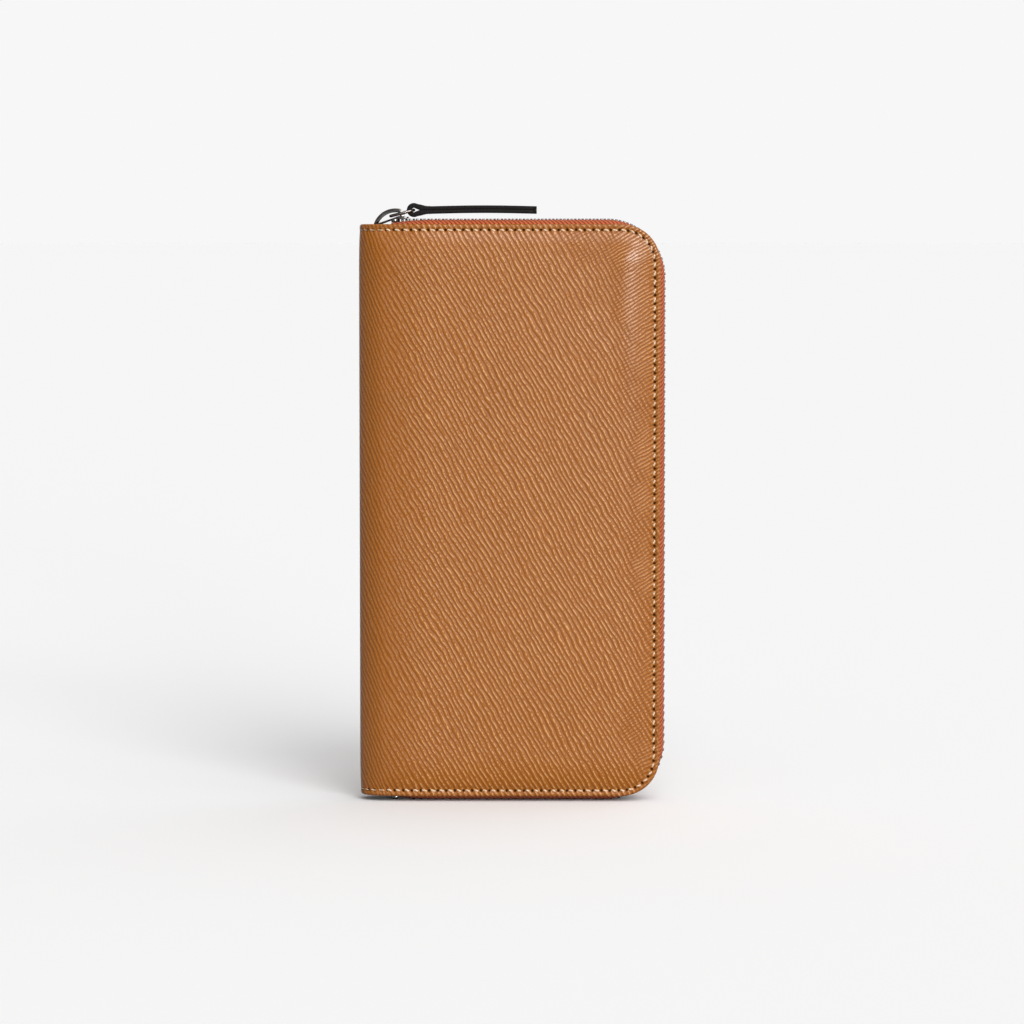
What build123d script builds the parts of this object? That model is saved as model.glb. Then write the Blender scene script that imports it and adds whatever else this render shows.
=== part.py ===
"""Long zip-around wallet, standing on its short edge with the spine at -X.

Millimetres. +X points from the spine to the zipped side, +Z up, and the front cover faces -Y.
The origin is under the middle of the standing wallet, on the surface that it stands on.
Each half is a stack of layers. A layer's depth is its distance from the middle plane Y = 0,
and the back half is the mirror image of the front half.
"""
from build123d import *
import os
from math import cos, pi, radians, sin, sqrt

# Overall sizes
WIDTH = 102.0             # leather, spine to free edge
HEIGHT = 195.0            # leather, bottom edge to top edge
HALF_DEPTH = 11.0         # middle plane to the crown of each cover

# Cover layers, from the outside in
LEATHER = 1.2             # outer leather
PADDING = 1.6             # foam under the crown
BOARD = 0.6               # stiffener, as thick as the zip tape sewn beside it
LINING = 0.6
CARD_BASE = 0.5
CARD_TIER = 0.5           # thickness of one card pocket panel
CARD_TIERS = 4

# Cover outline
LEATHER_CORNER = 13.0     # radius of the free corners
RIM_WIDTH = 3.6           # flat rim outside the crown
CROWN_SLOPE = 3.4         # width of the slope from rim to crown
BOARD_INSET = 8.0         # board and card panels stop this far inside the edge
LINING_INSET = 1.5
CARD_MARGIN = 1.0         # card panels stop this much further in than the board
CARD_STEP = 11.0          # each tier shows this much of the one behind it
STITCH_INSET = 2.1
STITCH_WIDTH = 0.6
STITCH_HEIGHT = 0.3
SEAM_GAP = 0.5            # between a pocket's edge and the end of its seam

# Spine and folds
SPINE_RADIUS = 8.6        # outside radius of the rounded spine
FOLD_GAP = 1.4            # half the width of the soft fold strip

# Main zip
ZIP_BEND = 18.0           # radius of the zip line round a corner
TAPE = 0.6
TAPE_SEWN = 6.0           # width of tape sewn between the leather and the lining
TAPE_TOP = 1.4            # outer face of the tape over the leather edge
TAPE_START = 2.0          # tape end, past the fold
TAPE_TURN = 2.9           # how far the tape leans in before it lies level
TAPE_BEND = 0.4           # where it leaves the leather, inside the edge
TOOTH_PITCH = 2.5
TOOTH_THICK = 0.9
TOOTH_REACH = 0.9         # how far a tooth passes the middle plane
TOOTH_ROOT = 2.85         # root of a tooth, from the middle plane
TOOTH_LOW = 0.4
TOOTH_HIGH = 1.75         # tip height over the leather edge, the outermost point of the zip
FIRST_TOOTH = 5.8         # past the fold
STOP_LENGTH = 1.8
STOP_DEPTH = 1.2

# Main slider, placed from the spine's outer face
SLIDER_NOSE = 12.5
SLIDER_LENGTH = 4.0
SLIDER_HALF_WIDTH = 4.0
SLIDER_PLATE = 0.55
SLIDER_GAP = 0.1          # outer plate to teeth
INNER_GAP = 0.3           # inner plate to teeth
TAPE_SLOT = 0.15          # flanges to tape
PLATE_CORNER = 0.8
FLANGE = 0.7
POST_LENGTH = 1.0
POST_HALF_WIDTH = 0.7
CROWN_HALF_WIDTH = 1.2
CROWN_THICK = 1.35

# Pull: a flat wire link and a doubled leather strap
LINK_X = 10.3             # link's inner bar, from the spine's outer face
LINK_Z = 2.6              # the same, over the leather edge
LINK_LENGTH = 8.2
LINK_TILT = 14.5
LINK_BAR = 1.0            # wire thickness
LINK_INSIDE = 6.4         # clear width between its rails
LINK_RAIL = 1.0
STRAP_WIDTH = 5.6
STRAP_THICK = 2.4
STRAP_END = 60.0          # strap's end, from the spine's outer face
EYE_RADIUS = 2.4
EYE_HOLE = 0.8
TIP_FLAT = 0.6            # flat left at the strap's round end
STRAP_SEAM = 1.2          # from the eye to the first row of thread
STRAP_ROW = 1.6           # row to row
STRAP_MARGIN = 0.7        # thread to the strap's side

# Coin pocket, a leaf in the middle that the spine carries
COIN_CAVITY = 1.4         # half the clear depth
COIN_WALL = 0.8
COIN_MOUTH = 76.0         # its zip, from the spine's outer face
COIN_INSET = 11.0         # its ends, from the leather's ends
COIN_TAPE = 0.4
COIN_TAPE_WIDTH = 3.0
COIN_PITCH = 2.0
COIN_TOOTH = 0.75
COIN_TOOTH_HEIGHT = 1.6
COIN_TOOTH_ROOT = 1.9
COIN_TOOTH_REACH = 0.6
COIN_FIRST_TOOTH = 2.2    # over the slider's lower end
COIN_BRIDGE = 2.0         # length of the bridge across the far end of the zip
COIN_STOP = (1.2, 1.6)    # depth and length of a clamp at the zip's foot
COIN_SLIDER_HALF = 2.6
COIN_SLIDER_LENGTH = 8.0
COIN_PLATE = 0.6
COIN_CLEAR = 0.15
COIN_SLIDER_Z = 16.0      # slider's lower end, over the pocket's lower end
PULL_LENGTH = 14.0
PULL_WIDTH = 5.0
PULL_THICK = 0.8
PULL_AXIS = 0.8           # pull's pivot, over the slider's outer plate
PULL_BAR = 0.4            # radius of the pull's bar
PULL_EYE = 0.5            # radius of the hole it turns in
PULL_EAR = 0.8            # width of an ear
PULL_CORNER = 1.2
COIN_CROWN = (1.0, 4.0)   # width and length of the coin slider's crown
COIN_CROWN_ROUND = 0.7
COIN_POST = (0.9, 1.2)    # width and length of its post
COIN_FLANGE_DROP = 1.4
PULL_DROP = 2.6           # pivot to the top of the tab

# Gussets that tie the card panels to the coin pocket
GUSSET_CLOTH = 0.4
GUSSET_CLEAR = 0.05       # to the coin pocket's wall
GUSSET_DEPTH = 22.0
GUSSET_END = 72.0         # from the spine's outer face

# Derived places
X_SPINE = -(WIDTH + TOOTH_HIGH) / 2
X_EDGE = X_SPINE + WIDTH
X_FOLD = X_SPINE + SPINE_RADIUS
X_COVER = X_FOLD + FOLD_GAP
Z_LOW = TOOTH_HIGH
Z_HIGH = Z_LOW + HEIGHT
Z_MID = (Z_LOW + Z_HIGH) / 2
CROWN_INNER = HALF_DEPTH - LEATHER
BOARD_OUTER = CROWN_INNER - PADDING
BOARD_INNER = BOARD_OUTER - BOARD
RIM_OUTER = BOARD_OUTER + LEATHER
LINING_INNER = BOARD_INNER - LINING
CARD_FACE = LINING_INNER - CARD_BASE
CARD_TOP = CARD_FACE - CARD_TIERS * CARD_TIER
COIN_OUTER = COIN_CAVITY + COIN_WALL
CARD_INSET = BOARD_INSET + CARD_MARGIN
X_CARDS = X_EDGE - CARD_INSET
X_COIN = X_SPINE + COIN_MOUTH
Z_COIN_LOW = Z_LOW + COIN_INSET
Z_COIN_HIGH = Z_HIGH - COIN_INSET


def slab(x0, x1, z0, z1, inner, outer, radius=0):
    """A flat layer of the front half between two depths, its two free corners rounded."""
    face = Pos((x0 + x1) / 2, (z0 + z1) / 2) * Rectangle(x1 - x0, z1 - z0)
    if radius:
        face = fillet(face.vertices().sort_by(Axis.X)[-2:], radius)
    return extrude(Plane.XZ.offset(inner) * face, outer - inner, dir=(0, -1, 0))


def cover_slab(inset, inner, outer, bend):
    """A layer that fills a cover up to `inset` from its free edges."""
    return slab(X_COVER, X_EDGE - inset, Z_LOW + inset, Z_HIGH - inset, inner, outer, bend - inset)


def mound(low_inset, high_inset, low, high):
    """A crowned layer that slopes in from the free edges and runs straight out at the fold."""
    faces = []
    for inset, depth in ((low_inset, low), (high_inset, high)):
        x1, z0, z1 = X_EDGE - inset, Z_LOW + inset, Z_HIGH - inset
        face = Pos((X_COVER + x1) / 2, (z0 + z1) / 2) * Rectangle(x1 - X_COVER, z1 - z0)
        face = fillet(face.vertices().sort_by(Axis.X)[-2:], LEATHER_CORNER - inset)
        faces.append(Plane.XZ.offset(depth) * face)
    return loft(faces, ruled=True)


def edge_path(inset, bend, x_start):
    """The line round a cover's three free sides, `inset` inside the leather's edge."""
    top, bottom, side = Z_HIGH - inset, Z_LOW + inset, X_EDGE - inset
    corners = ((x_start, 0, top), (side, 0, top), (side, 0, bottom), (x_start, 0, bottom))
    return FilletPolyline(*corners, radius=bend - inset)


def swept(points, inset, bend, x_start):
    """A closed section of (depth, height over the line) points carried along the edge line."""
    path = edge_path(inset, bend, x_start)
    start = Plane(origin=(x_start, 0, Z_HIGH - inset), x_dir=(0, 1, 0), z_dir=(1, 0, 0))
    section = make_face(Polyline(*[(-depth, rise) for depth, rise in points], close=True))
    return sweep(start * section, path=path)


def outer_leather(foam):
    """A flat rim with a raised crown, hollow where the foam lies."""
    rim = cover_slab(0, BOARD_OUTER, RIM_OUTER, LEATHER_CORNER)
    crown = mound(RIM_WIDTH, RIM_WIDTH + CROWN_SLOPE, RIM_OUTER, HALF_DEPTH)
    return rim + crown - foam


def padding():
    """Foam that fills the crown."""
    return mound(RIM_WIDTH + LEATHER, RIM_WIDTH + LEATHER + CROWN_SLOPE, BOARD_OUTER, CROWN_INNER)


def zip_tape():
    """Sewn flat under the rim, then turned in over the edge towards the teeth."""
    turn = BOARD_OUTER - TAPE_TURN
    low = TAPE_TOP - TAPE
    outer_face = [
        (BOARD_OUTER, -TAPE_SEWN),
        (BOARD_OUTER, -TAPE_BEND),
        (turn, TAPE_TOP),
        (TOOTH_ROOT, TAPE_TOP),
    ]
    inner_face = [
        (TOOTH_ROOT, low),
        (turn - TAPE / 2, low),
        (BOARD_INNER, -TAPE_BEND - TAPE),
        (BOARD_INNER, -TAPE_SEWN),
    ]
    return swept(outer_face + inner_face, 0, ZIP_BEND, X_FOLD + TAPE_START)


def edge_stitching():
    half = STITCH_WIDTH / 2
    top = RIM_OUTER + STITCH_HEIGHT
    section = [(RIM_OUTER, -half), (top, -half), (top, half), (RIM_OUTER, half)]
    return swept(section, STITCH_INSET, LEATHER_CORNER, X_COVER)


def zip_place(along):
    """A frame on the zip line: X along it, Z outwards. `along` runs from the fold at the top."""
    straight = X_EDGE - ZIP_BEND - X_FOLD
    side = HEIGHT - 2 * ZIP_BEND
    arc = (ZIP_BEND + TOOTH_LOW) * pi / 2
    centre_x = X_EDGE - ZIP_BEND
    if along < straight:
        point, turn = (X_FOLD + along, Z_HIGH), 0
    elif along < straight + arc:
        turn = (along - straight) / arc * 90
        point = (centre_x + ZIP_BEND * sin(radians(turn)), Z_HIGH - ZIP_BEND * (1 - cos(radians(turn))))
    elif along < straight + arc + side:
        point, turn = (X_EDGE, Z_HIGH - ZIP_BEND - (along - straight - arc)), 90
    elif along < straight + 2 * arc + side:
        turn = 90 + (along - straight - arc - side) / arc * 90
        point = (centre_x + ZIP_BEND * sin(radians(turn)), Z_LOW + ZIP_BEND * (1 + cos(radians(turn))))
    else:
        point, turn = (centre_x - (along - straight - 2 * arc - side), Z_LOW), 180
    out = (sin(radians(turn)), 0, cos(radians(turn)))
    ahead = (cos(radians(turn)), 0, -sin(radians(turn)))
    return Plane(origin=(point[0], 0, point[1]), x_dir=ahead, z_dir=out)


def zip_runs():
    """Where the zip's top run, side with its corners, and bottom run start and end."""
    straight = X_EDGE - ZIP_BEND - X_FOLD
    arc = (ZIP_BEND + TOOTH_LOW) * pi / 2
    bottom = straight + 2 * arc + HEIGHT - 2 * ZIP_BEND
    return {
        "top": (FIRST_TOOTH, straight),
        "side": (straight, bottom),
        "bottom": (bottom, bottom + straight - FIRST_TOOTH),
    }


def teeth(run, offset):
    """One row's teeth along one run. The other row is half a pitch further on."""
    start, end = zip_runs()[run]
    tooth = Pos(0, (TOOTH_REACH - TOOTH_ROOT) / 2, (TOOTH_LOW + TOOTH_HIGH) / 2) * Box(
        TOOTH_THICK, TOOTH_REACH + TOOTH_ROOT, TOOTH_HIGH - TOOTH_LOW
    )
    first = FIRST_TOOTH + offset * TOOTH_PITCH
    count = int((zip_runs()["bottom"][1] - first) / TOOTH_PITCH)
    places = [first + n * TOOTH_PITCH for n in range(count)]
    return [zip_place(s) * tooth for s in places if start <= s < end]


def zip_stops():
    """The clamp at each end of a row."""
    size = (STOP_LENGTH, STOP_DEPTH, TOOTH_HIGH - TOOTH_LOW)
    stop = Pos(0, STOP_DEPTH / 2 - TOOTH_ROOT, (TOOTH_LOW + TOOTH_HIGH) / 2) * Box(*size)
    end = zip_runs()["bottom"][1] + FIRST_TOOTH - TAPE_START
    return [zip_place(TAPE_START + STOP_LENGTH / 2) * stop, zip_place(end - STOP_LENGTH / 2) * stop]


def card_open_edge(tier):
    """X of a card tier's open edge. Tier 0 is the panel behind them all."""
    return X_CARDS - (tier * CARD_STEP)


def card_panel(tier):
    low, high = Z_LOW + CARD_INSET, Z_HIGH - CARD_INSET
    outer = CARD_FACE - (tier - 1) * CARD_TIER
    return slab(X_COVER, card_open_edge(tier), low, high, outer - CARD_TIER, outer)


def card_base():
    low, high = Z_LOW + CARD_INSET, Z_HIGH - CARD_INSET
    return slab(X_COVER, X_CARDS, low, high, CARD_FACE, LINING_INNER)


def card_seam():
    """The seam down the middle that makes two columns of pockets, one run on each step."""
    runs = []
    for tier in range(CARD_TIERS + 1):
        x0 = card_open_edge(tier + 1) if tier < CARD_TIERS else X_COVER
        face = CARD_FACE - tier * CARD_TIER
        low, high = Z_MID - STITCH_WIDTH / 2, Z_MID + STITCH_WIDTH / 2
        x1 = card_open_edge(tier) - 2 * SEAM_GAP
        runs.append(slab(x0 + SEAM_GAP, x1, low, high, face - STITCH_HEIGHT, face))
    return runs


def fold_leather():
    """The soft strip that bends where a cover meets the spine."""
    return slab(X_FOLD - FOLD_GAP, X_COVER, Z_LOW, Z_HIGH, CROWN_INNER, HALF_DEPTH)


def gusset(edge, inward):
    """A folded triangle of cloth: two leaves joined along their crease."""
    x0, x1 = X_COVER, X_SPINE + GUSSET_END
    crease = edge + inward * GUSSET_DEPTH
    slope = GUSSET_DEPTH / (x1 - x0)
    web = GUSSET_CLOTH * (1 + slope)
    leaf = make_face(Polyline((x0, edge), (x1, edge), (x1, crease), close=True))
    hollow = make_face(
        Polyline((x0 + web / slope, edge), (x1, edge), (x1, crease - inward * web), close=True)
    )
    inner, outer = COIN_OUTER + GUSSET_CLEAR, CARD_TOP
    folded = extrude(Plane.XZ.offset(inner) * leaf, outer - inner, dir=(0, -1, 0))
    inside = extrude(
        Plane.XZ.offset(inner + GUSSET_CLOTH) * hollow, outer - inner - 2 * GUSSET_CLOTH, dir=(0, -1, 0)
    )
    return folded - inside


def spine_outline(skin):
    """The rounded spine's outline, `skin` inside its outer face, cut off where the fold starts."""
    half = HALF_DEPTH - skin
    length = 2 * SPINE_RADIUS
    face = Pos(X_SPINE + skin + length / 2, 0) * Rectangle(length, 2 * half)
    face = fillet(face.vertices().sort_by(Axis.X)[:2], SPINE_RADIUS - skin)
    reach = SPINE_RADIUS - FOLD_GAP
    return face & Pos(X_SPINE + reach / 2, 0) * Rectangle(reach, 2 * HALF_DEPTH)


def spine_layer(outer, inner):
    section = spine_outline(outer) - spine_outline(inner)
    return extrude(Plane.XY.offset(Z_LOW) * section, HEIGHT)


def coin_wall():
    """One wall of the coin pocket, from the lining of the rounded spine to its zip."""
    radius = SPINE_RADIUS - LEATHER - LINING
    past_flat = max(0, COIN_OUTER - (HALF_DEPTH - SPINE_RADIUS))
    x0 = X_FOLD - sqrt(radius**2 - past_flat**2)
    return slab(x0, X_COIN - COIN_TAPE_WIDTH, Z_COIN_LOW, Z_COIN_HIGH, COIN_CAVITY, COIN_OUTER)


def coin_tape():
    outer = COIN_TOOTH_ROOT
    return slab(X_COIN - COIN_TAPE_WIDTH, X_COIN, Z_COIN_LOW, Z_COIN_HIGH, outer - COIN_TAPE, outer)


def coin_teeth(offset):
    depth = COIN_TOOTH_ROOT + COIN_TOOTH_REACH
    tooth = Box(COIN_TOOTH_HEIGHT, depth, COIN_TOOTH)
    first = Z_COIN_LOW + COIN_SLIDER_Z + COIN_FIRST_TOOTH + offset * COIN_PITCH
    count = int((Z_COIN_HIGH - 3 * COIN_BRIDGE - first) / COIN_PITCH)
    x, y = X_COIN + COIN_TOOTH_HEIGHT / 2, (COIN_TOOTH_REACH - COIN_TOOTH_ROOT) / 2
    return [Pos(x, y, first + n * COIN_PITCH) * tooth for n in range(count)]


def coin_stops():
    """A bridge across both tapes at the coin zip's top, and a clamp on each tape at its foot."""
    x = X_COIN + COIN_TOOTH_HEIGHT / 2
    bridge_z = Z_COIN_HIGH - 1.5 * COIN_BRIDGE
    bridge = Pos(x, 0, bridge_z) * Box(COIN_TOOTH_HEIGHT, 2 * COIN_TOOTH_ROOT, COIN_BRIDGE)
    depth, length = COIN_STOP
    y, z = COIN_TOOTH_ROOT - depth / 2, Z_COIN_LOW + COIN_SLIDER_Z - length * 0.75
    clamps = [Pos(x, side * y, z) * Box(COIN_TOOTH_HEIGHT, depth, length) for side in (-1, 1)]
    return [bridge] + clamps


def from_spine(x, rise):
    """A point of the slider and pull: from the spine's outer face, and over the leather edge."""
    return (X_SPINE + x, Z_HIGH + rise)


def side_profile(lines, half_width):
    """A closed outline of edges in XZ, given thickness across the middle plane."""
    face = Plane.XZ.offset(-half_width) * make_face(lines)
    return extrude(face, 2 * half_width, dir=(0, -1, 0))


def slider_crown():
    """The D-shaped loop that holds the link. Its lower bar runs down to the slider's nose."""
    foot, top, tip = from_spine(4.6, 0.0), from_spine(12.6, 5.2), from_spine(15.0, 3.0)
    seat = from_spine(15.0, 2.2)
    outer = (
        ThreePointArc(foot, from_spine(7.4, 3.75), top)
        + ThreePointArc(top, from_spine(14.3, 4.6), tip)
        + Polyline(tip, seat, from_spine(12.9, 1.9), from_spine(5.3, -0.9), foot)
    )
    low, high = from_spine(6.2, 0.25), from_spine(12.2, 5.2 - CROWN_THICK)
    inner = (
        ThreePointArc(low, from_spine(8.4, 2.75), high)
        + ThreePointArc(high, from_spine(13.3, 3.5), from_spine(13.5, 2.75))
        + Line(from_spine(13.5, 2.75), low)
    )
    return side_profile(outer, CROWN_HALF_WIDTH) - side_profile(inner, CROWN_HALF_WIDTH)


def zip_slider():
    """Two plates joined by the post, with flanges that leave a slot for the tape."""
    x, half = X_SPINE + SLIDER_NOSE + SLIDER_LENGTH / 2, SLIDER_HALF_WIDTH
    plate = Box(SLIDER_LENGTH, 2 * half, SLIDER_PLATE)
    top = Z_HIGH + TOOTH_HIGH + SLIDER_GAP
    bottom = Z_HIGH + TOOTH_LOW - INNER_GAP
    upper = Pos(x, 0, top + SLIDER_PLATE / 2) * fillet(plate.edges().filter_by(Axis.Z), PLATE_CORNER)
    lower = Pos(x, 0, bottom - SLIDER_PLATE / 2) * fillet(plate.edges().filter_by(Axis.Z), PLATE_CORNER)
    body = upper + lower
    post = Box(POST_LENGTH, 2 * POST_HALF_WIDTH, top - bottom)
    body += Pos(X_SPINE + SLIDER_NOSE + POST_LENGTH / 2, 0, (top + bottom) / 2) * post
    upper_flange = top - (Z_HIGH + TAPE_TOP + TAPE_SLOT)
    lower_flange = (Z_HIGH + TAPE_TOP - TAPE - TAPE_SLOT) - bottom
    for side in (-1, 1):
        y, length = side * (half - FLANGE / 2), SLIDER_LENGTH - 2 * PLATE_CORNER
        body += Pos(x, y, top - upper_flange / 2) * Box(length, FLANGE, upper_flange)
        body += Pos(x, y, bottom + lower_flange / 2) * Box(length, FLANGE, lower_flange)
    return body + slider_crown()


def link_end():
    """The far bar of the link, from the spine's outer face and over the leather edge."""
    tilt = radians(LINK_TILT)
    return LINK_X + LINK_LENGTH * cos(tilt), LINK_Z + LINK_LENGTH * sin(tilt)


def cross_bar(x, rise, radius, half_width):
    """A round bar across the wallet."""
    px, pz = from_spine(x, rise)
    return Plane(origin=(px, 0, pz), z_dir=(0, 1, 0)) * Cylinder(radius, 2 * half_width)


def pull_link():
    half = LINK_INSIDE / 2 + LINK_RAIL
    far_x, far_rise = link_end()
    ring = cross_bar(LINK_X, LINK_Z, LINK_BAR / 2, half) + cross_bar(far_x, far_rise, LINK_BAR / 2, half)
    mid_x, mid_z = from_spine((LINK_X + far_x) / 2, (LINK_Z + far_rise) / 2)
    rail = Box(LINK_LENGTH, LINK_RAIL, LINK_BAR)
    for side in (-1, 1):
        y = side * (half - LINK_RAIL / 2)
        ring += Location((mid_x, y, mid_z), (0, -LINK_TILT, 0)) * rail
    return ring


def pull_strap():
    """Doubled leather: an eye round the link's far bar, then a flat tongue with a round end."""
    x, rise = link_end()
    eye = cross_bar(x, rise, EYE_RADIUS, STRAP_WIDTH / 2)
    px, pz = from_spine(x, rise)
    length = X_SPINE + STRAP_END - px
    tongue = Pos(px + length / 2, 0, pz) * Box(length, STRAP_WIDTH, STRAP_THICK)
    ends = tongue.edges().filter_by(Axis.Z).sort_by(Axis.X)[-2:]
    tongue = fillet(ends, (STRAP_WIDTH - TIP_FLAT) / 2)
    return eye + tongue - cross_bar(x, rise, EYE_HOLE, STRAP_WIDTH / 2)


def strap_stitching():
    """Rows of thread just past the eye, on both faces of the strap."""
    x, rise = link_end()
    px, pz = from_spine(x + EYE_RADIUS + STRAP_SEAM, rise)
    row = Box(STITCH_WIDTH, STRAP_WIDTH - 2 * STRAP_MARGIN, STITCH_HEIGHT)
    rise = (STRAP_THICK + STITCH_HEIGHT) / 2
    return [Pos(px + n * STRAP_ROW, 0, pz + face * rise) * row for face in (-1, 1) for n in range(2)]


def coin_pull_pivot():
    outer_plate = X_COIN + COIN_TOOTH_HEIGHT + COIN_CLEAR + COIN_PLATE
    return outer_plate + PULL_AXIS, Z_COIN_LOW + COIN_SLIDER_Z + COIN_SLIDER_LENGTH / 2


def coin_slider():
    z0, length = Z_COIN_LOW + COIN_SLIDER_Z, COIN_SLIDER_LENGTH
    z = z0 + length / 2
    outer_x = X_COIN + COIN_TOOTH_HEIGHT + COIN_CLEAR
    inner_x = X_COIN - COIN_CLEAR
    inner_half = COIN_TOOTH_ROOT - COIN_TAPE - 2 * COIN_CLEAR
    body = Pos(outer_x + COIN_PLATE / 2, 0, z) * Box(COIN_PLATE, 2 * COIN_SLIDER_HALF, length)
    body += Pos(inner_x - COIN_PLATE / 2, 0, z) * Box(COIN_PLATE, 2 * inner_half, length)
    post_width, post_length = COIN_POST
    post = Box(outer_x - inner_x, post_width, post_length)
    body += Pos((outer_x + inner_x) / 2, 0, z0 + post_length / 2) * post
    flange = COIN_SLIDER_HALF - COIN_TOOTH_ROOT - COIN_CLEAR
    for side in (-1, 1):
        y = side * (COIN_SLIDER_HALF - flange / 2)
        body += Pos(outer_x - COIN_FLANGE_DROP / 2, y, z) * Box(COIN_FLANGE_DROP, flange, length)
    pivot_x, pivot_z = coin_pull_pivot()
    crown_x = (outer_x + COIN_PLATE + pivot_x + PULL_AXIS) / 2
    crown = Box(2 * PULL_AXIS, *COIN_CROWN)
    outer_edges = crown.edges().filter_by(Axis.Y).sort_by(Axis.X)[-2:]
    crown = Pos(crown_x, 0, pivot_z) * fillet(outer_edges, COIN_CROWN_ROUND)
    eye = Plane(origin=(pivot_x, 0, pivot_z), z_dir=(0, 1, 0)) * Cylinder(PULL_EYE, 2)
    return body + (crown - eye)


def coin_pull():
    """A flat tab that hangs from a bar through the coin slider's crown."""
    x, z = coin_pull_pivot()
    ear_y = (COIN_CROWN[0] + PULL_EAR) / 2 + 0.3
    bar = Plane(origin=(x, 0, z), z_dir=(0, 1, 0)) * Cylinder(PULL_BAR, 2 * ear_y + PULL_EAR)
    tab_top = z - PULL_DROP
    tab = Pos(x, 0, tab_top - PULL_LENGTH / 2) * Box(PULL_THICK, PULL_WIDTH, PULL_LENGTH)
    tab = fillet(tab.edges().filter_by(Axis.X), PULL_CORNER)
    ear_length = PULL_DROP + PULL_CORNER
    ear = Box(PULL_THICK, PULL_EAR, ear_length)
    ears = [Pos(x, side * ear_y, z - ear_length / 2) * ear for side in (-1, 1)]
    return bar + tab + ears[0] + ears[1]


def halves():
    """Every piece of the front half. The back half mirrors them, with its teeth half a pitch on."""
    foam = padding()
    pieces = {
        "outer_leather": [outer_leather(foam)],
        "padding": [foam],
        "board": [cover_slab(BOARD_INSET, BOARD_INNER, BOARD_OUTER, ZIP_BEND)],
        "lining": [cover_slab(LINING_INSET, LINING_INNER, BOARD_INNER, ZIP_BEND)],
        "zip_tape": [zip_tape()],
        "edge_stitching": [edge_stitching()],
        "zip_stops": zip_stops(),
        "card_base": [card_base()],
        "card_seam": card_seam(),
        "fold_leather": [fold_leather()],
        "top_gusset": [gusset(Z_HIGH - CARD_INSET, -1)],
        "bottom_gusset": [gusset(Z_LOW + CARD_INSET, 1)],
        "coin_pocket_wall": [coin_wall()],
        "coin_zip_tape": [coin_tape()],
    }
    for tier in range(1, CARD_TIERS + 1):
        pieces[f"card_tier_{tier}"] = [card_panel(tier)]
    return pieces


def wallet():
    nodes = {}
    for name, solids in halves().items():
        nodes[f"front_{name}"] = solids
        nodes[f"back_{name}"] = [mirror(solid, about=Plane.XZ) for solid in solids]
    for run in zip_runs():
        nodes[f"front_zip_teeth_{run}"] = teeth(run, 0)
        nodes[f"back_zip_teeth_{run}"] = [mirror(t, about=Plane.XZ) for t in teeth(run, 0.5)]
    nodes["front_coin_zip_teeth"] = coin_teeth(0)
    nodes["back_coin_zip_teeth"] = [mirror(t, about=Plane.XZ) for t in coin_teeth(0.5)]
    nodes["coin_zip_stops"] = coin_stops()
    nodes["spine_leather"] = [spine_layer(0, LEATHER)]
    nodes["spine_lining"] = [spine_layer(LEATHER, LEATHER + LINING)]
    nodes["zip_slider"] = [zip_slider()]
    nodes["pull_link"] = [pull_link()]
    nodes["pull_strap"] = [pull_strap()]
    nodes["strap_stitching"] = strap_stitching()
    nodes["coin_slider"] = [coin_slider()]
    nodes["coin_pull"] = [coin_pull()]
    return nodes


os.makedirs("parts", exist_ok=True)
for node, shapes in wallet().items():
    solids = [solid for shape in shapes for solid in shape.solids()]
    export_step(Compound(children=solids) if len(solids) > 1 else solids[0], f"parts/{node}.step")
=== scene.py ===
# %% [markdown]
# # A long zip-around wallet
# The wallet stands on its short edge, with its rounded spine at the left. Its moving frame comes from the
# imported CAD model, and every piece below is made where that frame says. Sizes are written in millimetres
# and turned into metres when they are used, because the pieces of a wallet are only millimetres thick.

# %% Load the frame
from math import cos, pi, radians, sin, sqrt

import bmesh
import bpy
from mathutils import Matrix, Vector


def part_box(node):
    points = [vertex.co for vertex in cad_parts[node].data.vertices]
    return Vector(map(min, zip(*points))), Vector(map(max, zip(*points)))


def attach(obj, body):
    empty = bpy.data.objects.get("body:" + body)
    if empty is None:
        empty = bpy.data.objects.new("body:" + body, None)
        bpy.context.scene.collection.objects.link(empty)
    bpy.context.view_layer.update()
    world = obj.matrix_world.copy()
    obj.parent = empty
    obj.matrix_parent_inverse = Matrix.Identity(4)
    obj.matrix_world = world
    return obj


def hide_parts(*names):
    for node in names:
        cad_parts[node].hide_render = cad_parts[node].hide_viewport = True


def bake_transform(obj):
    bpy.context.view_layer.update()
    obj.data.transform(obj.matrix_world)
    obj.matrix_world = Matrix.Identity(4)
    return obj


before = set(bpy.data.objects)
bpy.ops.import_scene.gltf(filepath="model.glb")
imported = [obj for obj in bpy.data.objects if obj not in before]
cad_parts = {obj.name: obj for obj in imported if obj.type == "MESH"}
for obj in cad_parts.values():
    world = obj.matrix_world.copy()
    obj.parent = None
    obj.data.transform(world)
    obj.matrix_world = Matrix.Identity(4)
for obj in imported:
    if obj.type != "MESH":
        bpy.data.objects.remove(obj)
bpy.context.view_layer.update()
MM = 0.001

# %% [markdown]
# ## Places taken from the frame
# A cover's leather runs from the fold beside the spine to the free edge. The zip passes round the free
# edges, so most pieces follow the same rounded line at some distance inside or outside the leather's edge.
# That distance is called the inset here, and a piece's depth is how far it stands from the middle plane.

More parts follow.
